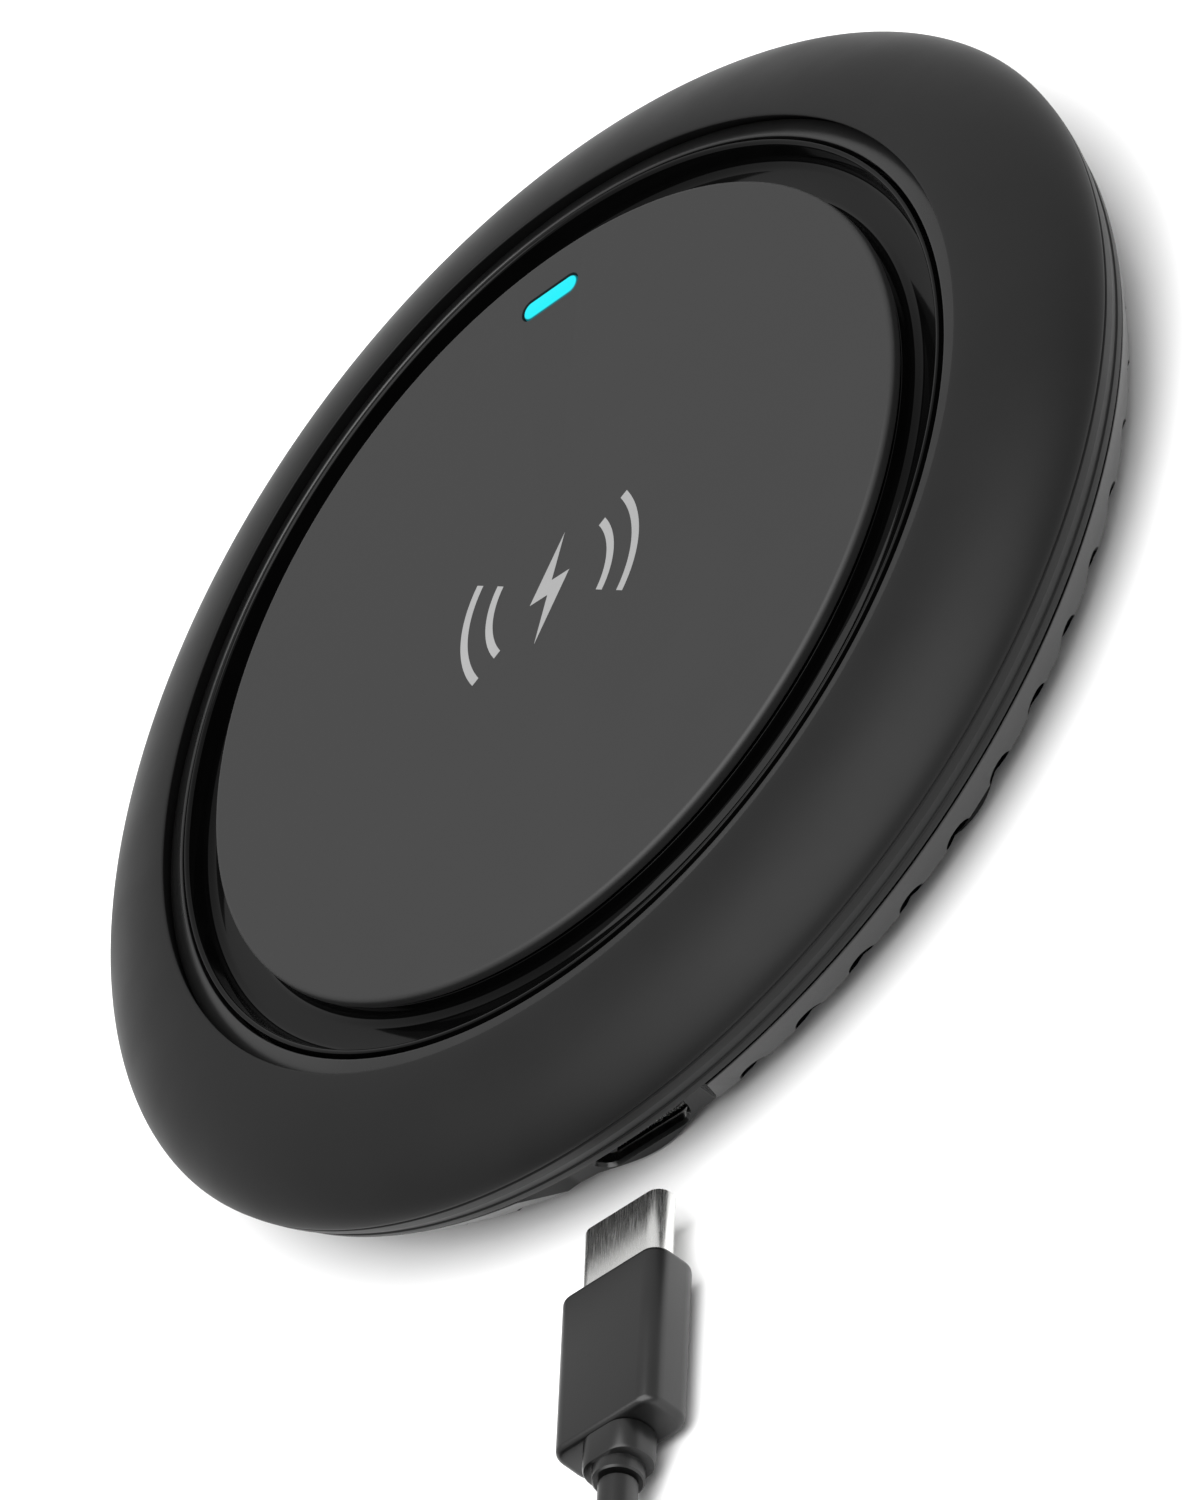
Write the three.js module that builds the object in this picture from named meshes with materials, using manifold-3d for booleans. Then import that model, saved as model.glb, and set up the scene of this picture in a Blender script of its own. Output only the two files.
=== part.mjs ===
// A round wireless charging pad and its USB-C cable, in millimetres.
// z = 0 is the table and +Z is up. The pad is centred on the Z axis and its USB-C port faces -Y.
// The cable lies unplugged in front of the port, on the port's own axis, and its spare length is coiled.
// The cable's own frame has its origin on the table under the tip of the USB-C plug.
import * as THREE from "three";
import { mergeVertices } from "three/addons/utils/BufferGeometryUtils.js";
import Module from "manifold-3d";

const wasm = await Module();
wasm.setup();

// ---------------------------------------------------------------- driving dimensions

const GAP = 0.3; // running gap between neighbouring parts
const SOLDER = 0.1; // between a soldered or taped part and what it sits on
const RING_FACETS = 52;
const SMALL_FACETS = 16;

const PAD_RADIUS = 51.3;
const PAD_HEIGHT = 14.4;

// The rings seen from above, from the rim inwards.
const DOME_WIDTH = 10.1;
const DOME_ROUNDNESS = 1.6; // 2 makes the dome a quarter ellipse, less makes it flatter
const STEP_WIDTH = 2.0;
const MOAT_WIDTH = 4.0;
const CREST_DROP = 0.4; // the dome's crest below the charging plate
const SEAM_DROP = 0.8; // the moat's outer lip below the charging plate
const STEP_DROP = 1.6; // the trim ring's outer edge below the charging plate
const MOAT_DEPTH = 2.9;

const HOUSING_WALL = 1.6;
const RIM_BAND = 3.0; // height of the band under the dome
const RIM_DRAFT = 1.1;
const COVER_SETBACK = 0.2; // the cover's side inside the skirt's lower edge
const FLANGE_WALL = 1.2;
const FLANGE_SHELF = 2.6; // the flange ends this far outside the plate's seat

const PLATE_EDGE = 1.0; // thickness of the plate where it overhangs its seat
const PLATE_SPIGOT = 1.0; // depth of the disc that centres the plate in its seat
const PLATE_FILLET = 0.6;
const SEAT_WALL = 1.6;
const MOAT_FLOOR = 1.2;
const MOAT_LIP = 0.5;

const FOOT = { radius: 4.0, height: 1.4, pocket: 0.5 };
const SCREW = { inset: 0.7, headRadius: 1.9, headHeight: 0.8, shankRadius: 0.95, length: 5.5, bossWall: 1.3 };
const BOARD_POST = { radius: 1.5, inset: 6, angles: [30, 150, 250, 290] };
const SCREW_BOSS_RISE = 1.9;
const PILLAR_RADIUS = 2.2;
const CORNER_ANGLES = [45, 135, 225, 315];

// The bottom cover's lower edge is where its tapered side meets its underside.
const COVER = { underside: 1.2, edge: 2.1, floor: 1.3, wall: 1.2, taper: 2.4, chamfer: 1.6 };
const COVER_LIP = { width: 1.3, rise: 1.7 }; // the ring inside the housing's skirt
const VENT = { count: 52, width: 2.7, height: 0.95, depth: 2.4, skipped: 1 };

// The port: a standard USB-C receptacle behind a flat face in a flared pocket.
const PORT_HEIGHT = 3.0; // centre of the port above the table
const PORT_FACE = 5.0; // the flat face behind the rim
const PORT_FACE_HALF = 7.0;
const PORT_FLARE = 45;
const PORT_WALL = 1.2;
const PORT_BOSS = { halfWidth: 8.5, depth: 10, bottom: 0.4, skin: 0.7 };
const RECEPTACLE = { width: 9.1, height: 3.2, length: 7.5, wall: 0.25 };
const TONGUE = { width: 6.6, height: 0.7, length: 4.4 };

const PLUG_SHELL = { width: 8.25, height: 2.4, length: 6.65, wall: 0.25, insert: 1.6 };
const OVERMOLD = { width: 10.4, height: 4.6, length: 15, chamfer: 0.6 };
const COLLAR = { width: 5.6, height: 4.2, length: 2.8, neckLength: 1.2, neckRadius: 1.95 };
const PLUG_TIP_AWAY = 3.3; // tip of the unplugged plug in front of the rim
const CORD_DIAMETER = 3.0;

const PCB = { thickness: 1.0, margin: 0.6 };
const COIL = { innerRadius: 10, turns: 10, pitch: 1.25, wire: 1.0, height: 1.1 };
const FERRITE = { radius: 24, thickness: 0.8 };
const CARRIER = { wall: 1.2, platform: 27 };
const LEAD = { radius: 0.45, hole: 1.0, outward: 2.6 };
const BOARD_TAB = { half: 6, overlap: 6, setback: 0.4 };
const THERMAL_PAD_MARGIN = 1.5;
const STATUS_LED = [2.0, 1.2, 0.7];
const THERMISTOR = [2.4, 1.4, 0.9];

const LED = { length: 5.6, width: 1.75, inset: 4.5, angle: 93, clearance: 0.15 };
const LIGHT_PIPE = { aboveBoard: 1.2, collarHeight: 0.8, collarWidth: 0.6, belowPlate: 0.05 };

const COIL_OF_CORD = { meanRadius: 16.5, layers: 3, columns: 3, clearOfPlug: 24, edge: 1.0 };
const TIE = { width: 5, thickness: 0.4, clearance: 0.1, angle: 340, innerRadius: 1.1 };
const USB_A = { width: 15.4, height: 8.0, length: 20, radius: 2.4, reliefLength: 8, reliefRadius: 2.6 };
const USB_A_SHELL = { width: 12.0, height: 4.5, length: 12, wall: 0.4, radius: 0.6 };
const USB_A_TONGUE = { width: 10.6, height: 1.9, setback: 0.8 };

// ---------------------------------------------------------------- heights and radii that follow

const skirtBottom = PORT_HEIGHT + OVERMOLD.height / 2 + GAP;
const creaseHeight = skirtBottom + RIM_BAND;
const domeRadius = PAD_RADIUS - DOME_WIDTH; // inner edge of the dome
const seamRadius = domeRadius - STEP_WIDTH;
const plateRadius = seamRadius - MOAT_WIDTH;

const plateBottom = PAD_HEIGHT - PLATE_EDGE;
const spigotBottom = plateBottom - PLATE_SPIGOT;
const seatRadius = plateRadius - 0.2;
const seatInner = seatRadius - SEAT_WALL;
const moatTop = PAD_HEIGHT - MOAT_DEPTH;
const moatBottom = moatTop - MOAT_FLOOR;
const flangeTop = moatBottom - GAP;
const flangeBottom = flangeTop - FLANGE_WALL;
const trimOuter = domeRadius + 0.2;
const housingBore = trimOuter + GAP;
const screwCircle = housingBore - SCREW.inset;

const coilTop = spigotBottom - GAP;
const coilBottom = coilTop - COIL.height;
const coilOuter = COIL.innerRadius + COIL.turns * COIL.pitch;
const ferriteTop = coilBottom - GAP;
const ferriteBottom = ferriteTop - FERRITE.thickness;
const platformTop = ferriteBottom - GAP;
const platformBottom = platformTop - CARRIER.wall;
const carrierTop = flangeBottom - GAP;
const carrierBottom = carrierTop - CARRIER.wall;
const boardRadius = screwCircle - PILLAR_RADIUS - PCB.margin;

const floorTop = COVER.underside + COVER.floor;
const coverTop = skirtBottom - GAP;
const skirtInner = PAD_RADIUS - RIM_DRAFT - HOUSING_WALL;
const lipOuter = skirtInner - GAP;
const lipInner = lipOuter - COVER_LIP.width;
const coverSide = PAD_RADIUS - RIM_DRAFT - COVER_SETBACK;
const coverEdge = coverSide - COVER.taper;

const faceY = -(PAD_RADIUS - PORT_FACE);
const wallBackY = faceY + PORT_WALL;
const receptacleFront = wallBackY + GAP;
const receptacleBack = receptacleFront + RECEPTACLE.length;
const boardBottom = PORT_HEIGHT + RECEPTACLE.height / 2 + GAP;
const boardTop = boardBottom + PCB.thickness;

const seatBoss = floorTop + SCREW_BOSS_RISE; // top of the screw bosses inside the bottom cover
const screwSeat = COVER.underside + FOOT.pocket + GAP + SCREW.headHeight; // under the screw's head

// In the cable's own frame, whose origin is under the plug's tip.
const overmoldFront = -PLUG_SHELL.length;
const overmoldBack = overmoldFront - OVERMOLD.length;
const collarBack = overmoldBack - COLLAR.length - COLLAR.neckLength;
const cordPitch = CORD_DIAMETER + 0.05;
const ringHalfWidth = (COIL_OF_CORD.columns * cordPitch) / 2;
const ringHeight = COIL_OF_CORD.layers * cordPitch;
const outerTurn = COIL_OF_CORD.meanRadius + ((COIL_OF_CORD.columns - 1) / 2) * cordPitch;
const ringOuter = COIL_OF_CORD.meanRadius + ringHalfWidth;
const ringInner = COIL_OF_CORD.meanRadius - ringHalfWidth;
const coilLift = TIE.thickness + TIE.clearance + 0.05; // the tie passes under the coil
const ringX = -outerTurn;
const ringY = collarBack - COIL_OF_CORD.clearOfPlug;

// ---------------------------------------------------------------- materials

const finish = (color, roughness, metalness = 0) =>
  new THREE.MeshStandardMaterial({ color, roughness, metalness });

const FINISH = {
  softTouch: finish(0x3a3a3a, 0.6),
  plate: finish(0x4b4b4b, 0.65),
  gloss: finish(0x0b0b0b, 0.12),
  trim: finish(0x333333, 0.4),
  cover: finish(0x2a2a2a, 0.4),
  rubber: finish(0x1c1c1c, 0.9),
  lens: finish(0x00e5f0, 0.3),
  steel: finish(0xb8b8b8, 0.3, 1),
  copper: finish(0xb0693a, 0.4, 1),
  ferrite: finish(0x2f3133, 0.7),
  nylon: finish(0xd8d6cc, 0.6),
  board: finish(0x1f5a35, 0.5),
  chip: finish(0x1a1a1c, 0.5),
  ceramic: finish(0xb99a6b, 0.5),
  insulator: finish(0x202022, 0.5),
  cord: finish(0x141414, 0.5),
};

// ---------------------------------------------------------------- solids

// A closed geometry as a manifold-3d solid. Its shared vertices are merged first.
function solid(geometry) {
  const bare = new THREE.BufferGeometry();
  const flat = geometry.index ? geometry.toNonIndexed() : geometry;
  bare.setAttribute("position", flat.getAttribute("position"));
  const merged = mergeVertices(bare, 1e-4);
  const vertProperties = merged.attributes.position.array;
  const triVerts = new Uint32Array(merged.index.array);
  return new wasm.Manifold(new wasm.Mesh({ numProp: 3, vertProperties, triVerts }));
}

function geometryOf(body) {
  const mesh = body.getMesh();
  const geometry = new THREE.BufferGeometry();
  geometry.setAttribute("position", new THREE.BufferAttribute(mesh.vertProperties, 3));
  geometry.setIndex(new THREE.BufferAttribute(mesh.triVerts, 1));
  const faceted = geometry.toNonIndexed();
  faceted.computeVertexNormals();
  return faceted;
}

const join = (first, ...others) =>
  geometryOf(others.reduce((sum, other) => sum.add(solid(other)), solid(first)));

const cut = (first, ...others) =>
  geometryOf(others.reduce((rest, other) => rest.subtract(solid(other)), solid(first)));

const common = (first, second) => geometryOf(solid(first).intersect(solid(second)));

// A body of revolution about Z. The [radius, height] outline runs anticlockwise, with the axis on its left;
// it starts and ends on the axis, or is closed here when it stays clear of it.
function turned(outline, facets = RING_FACETS) {
  const points = outline.map(([radius, height]) => new THREE.Vector2(radius, height));
  if (outline[0][0] > 0) points.push(points[0].clone());
  return new THREE.LatheGeometry(points, facets).rotateX(Math.PI / 2);
}

// A block from its low corner to its high corner.
function block([x0, y0, z0], [x1, y1, z1]) {
  const box = new THREE.BoxGeometry(x1 - x0, y1 - y0, z1 - z0);
  return box.translate((x0 + x1) / 2, (y0 + y1) / 2, (z0 + z1) / 2);
}

// A rectangle with rounded corners, centred on the origin; a radius of half its height makes a stadium.
function roundedOutline(Outline, width, height, radius) {
  const x = width / 2 - radius;
  const y = height / 2 - radius;
  const quarter = Math.PI / 2;
  return new Outline()
    .moveTo(x + radius, -y)
    .absarc(x, y, radius, 0, quarter, false)
    .absarc(-x, y, radius, quarter, 2 * quarter, false)
    .absarc(-x, -y, radius, 2 * quarter, 3 * quarter, false)
    .absarc(x, -y, radius, 3 * quarter, 4 * quarter, false);
}

const rounded = (width, height, radius) => roundedOutline(THREE.Shape, width, height, radius);

function roundedTube(width, height, radius, wall) {
  const shape = rounded(width, height, radius);
  shape.holes.push(roundedOutline(THREE.Path, width - 2 * wall, height - 2 * wall, radius - wall));
  return shape;
}

// A flat outline given depth along +Z, from z = 0.
const prism = (shape, depth, curveSegments = 3) =>
  new THREE.ExtrudeGeometry(shape, { depth, bevelEnabled: false, curveSegments });

// An outline in X and Z, carried along Y from y0 to y1.
const prismAlongY = (shape, y0, y1, curveSegments = 3) =>
  prism(shape, y1 - y0, curveSegments).rotateX(Math.PI / 2).translate(0, y1, 0);

const polygon = (points) => new THREE.Shape(points.map(([x, y]) => new THREE.Vector2(x, y)));

const rod = (radius, z0, z1, facets = SMALL_FACETS) =>
  turned([[0, z0], [radius, z0], [radius, z1], [0, z1]], facets);

const radians = THREE.MathUtils.degToRad;

const atAngle = (radius, degrees, z = 0) =>
  new THREE.Vector3(radius * Math.cos(radians(degrees)), radius * Math.sin(radians(degrees)), z);

const moved = (geometry, place) => geometry.translate(place.x, place.y, place.z);

function mesh(group, name, geometry, material, place = new THREE.Vector3()) {
  const made = new THREE.Mesh(geometry, material);
  made.name = name;
  made.position.copy(place);
  group.add(made);
}

// ---------------------------------------------------------------- pad: housings

// Points of a quarter superellipse about (domeRadius, creaseHeight), its angle measured from the vertical.
const domePower = 2 / DOME_ROUNDNESS;

function domeArc(width, height, from, to, steps) {
  return Array.from({ length: steps + 1 }, (_, step) => {
    const angle = radians(from + ((to - from) * step) / steps);
    const out = width * Math.sin(angle) ** domePower;
    return [domeRadius + out, creaseHeight + height * Math.cos(angle) ** domePower];
  });
}

function topHousing() {
  const crest = PAD_HEIGHT - CREST_DROP - creaseHeight;
  const outer = domeArc(DOME_WIDTH, crest, 90, 0, 8);
  const boreWall = housingBore + HOUSING_WALL;
  const innerWidth = DOME_WIDTH - HOUSING_WALL;
  const inside = Math.asin(((boreWall - domeRadius) / innerWidth) ** (1 / domePower));
  const inner = domeArc(innerWidth, crest - HOUSING_WALL, THREE.MathUtils.radToDeg(inside), 90, 4);
  const shell = turned([
    [skirtInner, skirtBottom],
    [PAD_RADIUS - RIM_DRAFT, skirtBottom],
    [PAD_RADIUS - 0.15 * RIM_DRAFT, creaseHeight - 0.3 * RIM_BAND],
    ...outer,
    [domeRadius - 0.2, PAD_HEIGHT - CREST_DROP - 0.3],
    [housingBore, PAD_HEIGHT - STEP_DROP - 0.2],
    [housingBore, flangeTop],
    [seatInner + FLANGE_SHELF, flangeTop],
    [seatInner + FLANGE_SHELF, flangeBottom],
    [boreWall, flangeBottom],
    ...inner,
  ]);
  const pillars = CORNER_ANGLES.map((angle) =>
    moved(rod(PILLAR_RADIUS, seatBoss + GAP, flangeTop), atAngle(screwCircle, angle)),
  );
  const boreTop = screwSeat + SCREW.length + GAP;
  const bores = CORNER_ANGLES.map((angle) =>
    moved(rod(SCREW.shankRadius + GAP, seatBoss, boreTop), atAngle(screwCircle, angle)),
  );
  return cut(join(shell, ...pillars), ...bores);
}

// The port's boss seen from the front: a smooth hump under the cover, flat on top.
function bossOutline() {
  const steps = 8;
  const hump = Array.from({ length: steps + 1 }, (_, step) => {
    const x = PORT_BOSS.halfWidth * ((2 * step) / steps - 1);
    const swell = (1 + Math.cos((Math.PI * x) / PORT_BOSS.halfWidth)) / 2;
    return [x, COVER.edge - (COVER.edge - PORT_BOSS.bottom) * swell];
  });
  const top = coverTop + COVER_LIP.rise;
  return polygon([...hump, [PORT_BOSS.halfWidth, top], [-PORT_BOSS.halfWidth, top]]);
}

function bottomCover() {
  const shell = turned([
    [0, COVER.underside],
    [coverEdge - COVER.chamfer, COVER.underside],
    [coverEdge, COVER.edge],
    [coverSide, coverTop],
    [lipOuter, coverTop],
    [lipOuter, coverTop + COVER_LIP.rise],
    [lipInner, coverTop + COVER_LIP.rise],
    [coverEdge - COVER.wall, floorTop + 0.2],
    [0, floorTop],
  ]);
  // The boss outline is drawn in X and Z; turned to run along Y it has its height upwards.
  const boss = new THREE.ExtrudeGeometry(bossOutline(), { depth: PORT_BOSS.depth + 5, bevelEnabled: false })
    .rotateX(Math.PI / 2)
    .translate(0, faceY + PORT_BOSS.depth, 0);
  const withinLip = rod(lipOuter, 0, coverTop + COVER_LIP.rise, RING_FACETS);
  const bosses = CORNER_ANGLES.map((angle) =>
    moved(rod(SCREW.headRadius + SCREW.bossWall, floorTop - 0.2, seatBoss), atAngle(screwCircle, angle)),
  );
  const postCircle = boardRadius - BOARD_POST.inset;
  const posts = BOARD_POST.angles.map((angle) =>
    moved(rod(BOARD_POST.radius, floorTop - 0.2, boardBottom - GAP, 12), atAngle(postCircle, angle)),
  );
  const solidCover = join(shell, common(boss, withinLip), ...bosses, ...posts);

  const farOut = PAD_RADIUS + 2;
  const flareReach = (farOut + faceY) * Math.tan(radians(PORT_FLARE));
  const pocket = prism(
    polygon([
      [-PORT_FACE_HALF, faceY],
      [-PORT_FACE_HALF - flareReach, -farOut],
      [PORT_FACE_HALF + flareReach, -farOut],
      [PORT_FACE_HALF, faceY],
    ]),
    coverTop + GAP + 1,
  ).translate(0, 0, -1);
  const slotWidth = PLUG_SHELL.width + 4 * GAP;
  const slotHeight = PLUG_SHELL.height + 3 * GAP;
  const slot = prismAlongY(rounded(slotWidth, slotHeight, slotHeight / 2 - 0.01), faceY - 1, wallBackY + 0.1)
    .translate(0, 0, PORT_HEIGHT);
  const cavityHalf = RECEPTACLE.width / 2 + GAP;
  const trough = block(
    [-cavityHalf, wallBackY, PORT_BOSS.bottom + PORT_BOSS.skin],
    [cavityHalf, receptacleBack + GAP, floorTop + 1],
  );
  const aboveFloor = block(
    [-PORT_BOSS.halfWidth - 0.2, wallBackY, floorTop],
    [PORT_BOSS.halfWidth + 0.2, faceY + PORT_BOSS.depth + 1, coverTop + COVER_LIP.rise + 1],
  );
  const feet = CORNER_ANGLES.map((angle) =>
    moved(rod(FOOT.radius + GAP, -1, COVER.underside + FOOT.pocket), atAngle(screwCircle, angle)),
  );
  const heads = CORNER_ANGLES.map((angle) =>
    moved(rod(SCREW.headRadius + GAP, 0, screwSeat + GAP), atAngle(screwCircle, angle)),
  );
  const shanks = CORNER_ANGLES.map((angle) =>
    moved(rod(SCREW.shankRadius + GAP, 0, seatBoss + 1), atAngle(screwCircle, angle)),
  );
  return cut(solidCover, pocket, slot, trough, aboveFloor, ...feet, ...heads, ...shanks, ...vents());
}

// Round-topped radial slots through the lower edge of the cover, all round except at the port.
function vents() {
  const half = VENT.width / 2;
  const low = COVER.edge;
  const outline = polygon([
    [-half, low - VENT.height],
    [half, low - VENT.height],
    [half, low + 0.4 * VENT.height],
    [0.5 * half, low + VENT.height],
    [-0.5 * half, low + VENT.height],
    [-half, low + 0.4 * VENT.height],
  ]);
  const slots = [];
  for (let index = 0; index < VENT.count; index += 1) {
    const fromPort = Math.min(index, VENT.count - index);
    if (fromPort <= VENT.skipped) continue;
    const slot = prismAlongY(outline, -(PAD_RADIUS + 2), -(coverEdge - VENT.depth));
    slots.push(slot.rotateZ((2 * Math.PI * index) / VENT.count));
  }
  return slots;
}

// The glossy part: the plate's seat, the moat, and the base that the trim ring stands on.
function moatRing() {
  const seatTop = plateBottom - GAP;
  const lipTop = PAD_HEIGHT - SEAM_DROP;
  const wallInner = seamRadius - MOAT_LIP;
  return turned([
    [seatInner, moatBottom],
    [trimOuter, moatBottom],
    [trimOuter, moatTop - GAP],
    [seamRadius + 0.1, moatTop - GAP],
    [seamRadius, lipTop],
    [seamRadius - 0.2, lipTop],
    [wallInner, lipTop - 0.5],
    [wallInner - 0.2, moatTop + 0.8],
    [wallInner - 1.0, moatTop],
    [seatRadius + 0.8, moatTop],
    [seatRadius, moatTop + 0.7],
    [seatRadius, seatTop],
    [seatInner, seatTop],
  ]);
}

function trimRing() {
  const bottom = moatTop;
  return turned([
    [seamRadius + 0.1 + GAP, bottom],
    [trimOuter, bottom],
    [trimOuter, PAD_HEIGHT - STEP_DROP],
    [seamRadius + GAP, PAD_HEIGHT - SEAM_DROP - 0.1],
  ]);
}

const ledPill = (depth, grow) =>
  prism(rounded(LED.length + 2 * grow, LED.width + 2 * grow, LED.width / 2 + grow - 0.005), depth, 4)
    .rotateZ(Math.PI / 2 + radians(LED.angle));

const ledPlace = (z) => atAngle(plateRadius - LED.inset, LED.angle, z);

function chargingPlate() {
  const disc = turned([
    [0, spigotBottom],
    [seatInner - GAP, spigotBottom],
    [seatInner - GAP, plateBottom],
    [plateRadius, plateBottom],
    [plateRadius, PAD_HEIGHT - PLATE_FILLET],
    [plateRadius - 0.3 * PLATE_FILLET, PAD_HEIGHT - 0.3 * PLATE_FILLET],
    [plateRadius - PLATE_FILLET, PAD_HEIGHT],
    [0, PAD_HEIGHT],
  ]);
  return cut(disc, moved(ledPill(PAD_HEIGHT, LED.clearance), ledPlace(spigotBottom - 1)));
}

// A clear pill that carries the light up to the plate, with a collar that stops it under the plate.
function lightPipe() {
  const collarTop = spigotBottom - SOLDER;
  const bottom = boardTop + LIGHT_PIPE.aboveBoard;
  const pipe = moved(ledPill(PAD_HEIGHT - LIGHT_PIPE.belowPlate - bottom, 0), ledPlace(bottom));
  const { collarHeight, collarWidth } = LIGHT_PIPE;
  const collar = moved(ledPill(collarHeight, collarWidth), ledPlace(collarTop - collarHeight));
  return join(pipe, collar);
}

// ---------------------------------------------------------------- pad: inside

const innerLeadAngle = 180;
const outerLeadAngle = 0;
const outerLeadRadius = CARRIER.platform + LEAD.outward;
const innerLeadRadius = 7;

function coilCarrier() {
  const disc = turned([
    [0, platformBottom],
    [CARRIER.platform - CARRIER.wall, platformBottom],
    [CARRIER.platform - CARRIER.wall, carrierBottom],
    [boardRadius, carrierBottom],
    [boardRadius, carrierTop],
    [CARRIER.platform, carrierTop],
    [CARRIER.platform, platformTop],
    [0, platformTop],
  ], 48);
  const leadHoles = [
    moved(rod(LEAD.hole, carrierBottom - 1, platformTop + 1, 10), atAngle(outerLeadRadius, outerLeadAngle)),
    moved(rod(LEAD.hole, carrierBottom - 1, platformTop + 1, 10), atAngle(innerLeadRadius, innerLeadAngle)),
  ];
  const pipeHole = moved(ledPill(PAD_HEIGHT, GAP), ledPlace(carrierBottom - 1));
  return cut(disc, pipeHole, ...leadHoles);
}

function ferriteSheet() {
  const hole = rod(LEAD.hole, ferriteBottom - 1, ferriteTop + 1, 10);
  const sheet = rod(FERRITE.radius, ferriteBottom, ferriteTop, 48);
  return cut(sheet, moved(hole, atAngle(innerLeadRadius, innerLeadAngle)));
}

// A flat spiral in a horizontal plane, from the inner turn out.
class FlatSpiral extends THREE.Curve {
  getPoint(share, target = new THREE.Vector3()) {
    const angle = 2 * Math.PI * COIL.turns * share + radians(innerLeadAngle);
    const radius = COIL.innerRadius + COIL.pitch * (COIL.turns * share);
    return target.set(radius * Math.cos(angle), radius * Math.sin(angle), 0);
  }
}

function transmitterCoil() {
  const section = polygon([
    [-COIL.height / 2, -COIL.wire / 2],
    [COIL.height / 2, -COIL.wire / 2],
    [COIL.height / 2, COIL.wire / 2],
    [-COIL.height / 2, COIL.wire / 2],
  ]);
  const steps = COIL.turns * 14;
  const winding = new THREE.ExtrudeGeometry(section, { steps, extrudePath: new FlatSpiral() });
  return winding.translate(0, 0, (coilTop + coilBottom) / 2);
}

// A round wire along a smooth path, with an even number of sides.
function wire(points, radius, steps, sides = 8) {
  const section = new THREE.Shape().absarc(0, 0, radius, 0, 2 * Math.PI, false);
  const path = new THREE.CatmullRomCurve3(points);
  return new THREE.ExtrudeGeometry(section, { steps, extrudePath: path, curveSegments: sides / 2 });
}

function coilLead(angle, coilRadius, holeRadius, atCoil, boardGap) {
  const points = [
    atAngle(coilRadius, angle, atCoil),
    atAngle((coilRadius + holeRadius) / 2, angle, atCoil - 0.1),
    atAngle(holeRadius, angle, (atCoil + platformTop) / 2 - 0.6),
    atAngle(holeRadius, angle, platformBottom),
    atAngle(holeRadius, angle, boardTop + boardGap),
  ];
  return wire(points, LEAD.radius, 14, 6);
}

function mainBoard() {
  const board = rod(boardRadius, boardBottom, boardTop, 48);
  const { half, overlap, setback } = BOARD_TAB;
  const front = receptacleFront + setback;
  const tab = block([-half, front, boardBottom], [half, overlap - boardRadius, boardTop]);
  return join(board, tab);
}

function receptacleShell() {
  const { width, height, wall } = RECEPTACLE;
  const tube = roundedTube(width, height, height / 2 - 0.05, wall);
  return prismAlongY(tube, receptacleFront, receptacleBack).translate(0, 0, PORT_HEIGHT);
}

// The receptacle's moulding: a plug of plastic at the back with the contact tongue on its front.
function receptacleTongue() {
  const room = RECEPTACLE.wall + GAP / 2;
  const bodyFront = receptacleBack - 1.0;
  const body = prismAlongY(
    rounded(RECEPTACLE.width - 2 * room, RECEPTACLE.height - 2 * room, RECEPTACLE.height / 2 - room - 0.1),
    bodyFront,
    receptacleBack,
  ).translate(0, 0, PORT_HEIGHT);
  const halfWidth = TONGUE.width / 2;
  const tongue = block(
    [-halfWidth, bodyFront - TONGUE.length, PORT_HEIGHT - TONGUE.height / 2],
    [halfWidth, bodyFront + 0.2, PORT_HEIGHT + TONGUE.height / 2],
  );
  return join(body, tongue);
}

// Parts soldered to the board: name, size, centre on the board, and the side it is on.
const BOARD_PARTS = [
  { name: "charging_controller_ic", size: [7, 7, 0.9], centre: [0, -10], under: true },
  { name: "usb_power_ic", size: [4, 4, 0.8], centre: [-9, -26], under: true },
  { name: "power_inductor", size: [6, 6, 1.8], centre: [11, -24], under: true },
  { name: "mosfet_bridge_1", size: [5, 6, 0.9], centre: [-14, 6], under: true },
  { name: "mosfet_bridge_2", size: [5, 6, 0.9], centre: [14, 6], under: true },
  { name: "input_capacitor_1", size: [3.2, 2.5, 1.4], centre: [2.5, -31], under: true },
  { name: "input_capacitor_2", size: [3.2, 2.5, 1.4], centre: [-2.5, -31], under: true },
  { name: "tank_capacitor_1", size: [3.2, 2.5, 1.0], centre: [18, -6] },
  { name: "tank_capacitor_2", size: [3.2, 2.5, 1.0], centre: [18, -2] },
  { name: "tank_capacitor_3", size: [3.2, 2.5, 1.0], centre: [22, -6] },
  { name: "tank_capacitor_4", size: [3.2, 2.5, 1.0], centre: [22, -2] },
];

const CHIP_FINISH = {
  input_capacitor: FINISH.ceramic,
  tank_capacitor: FINISH.ceramic,
};

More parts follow.
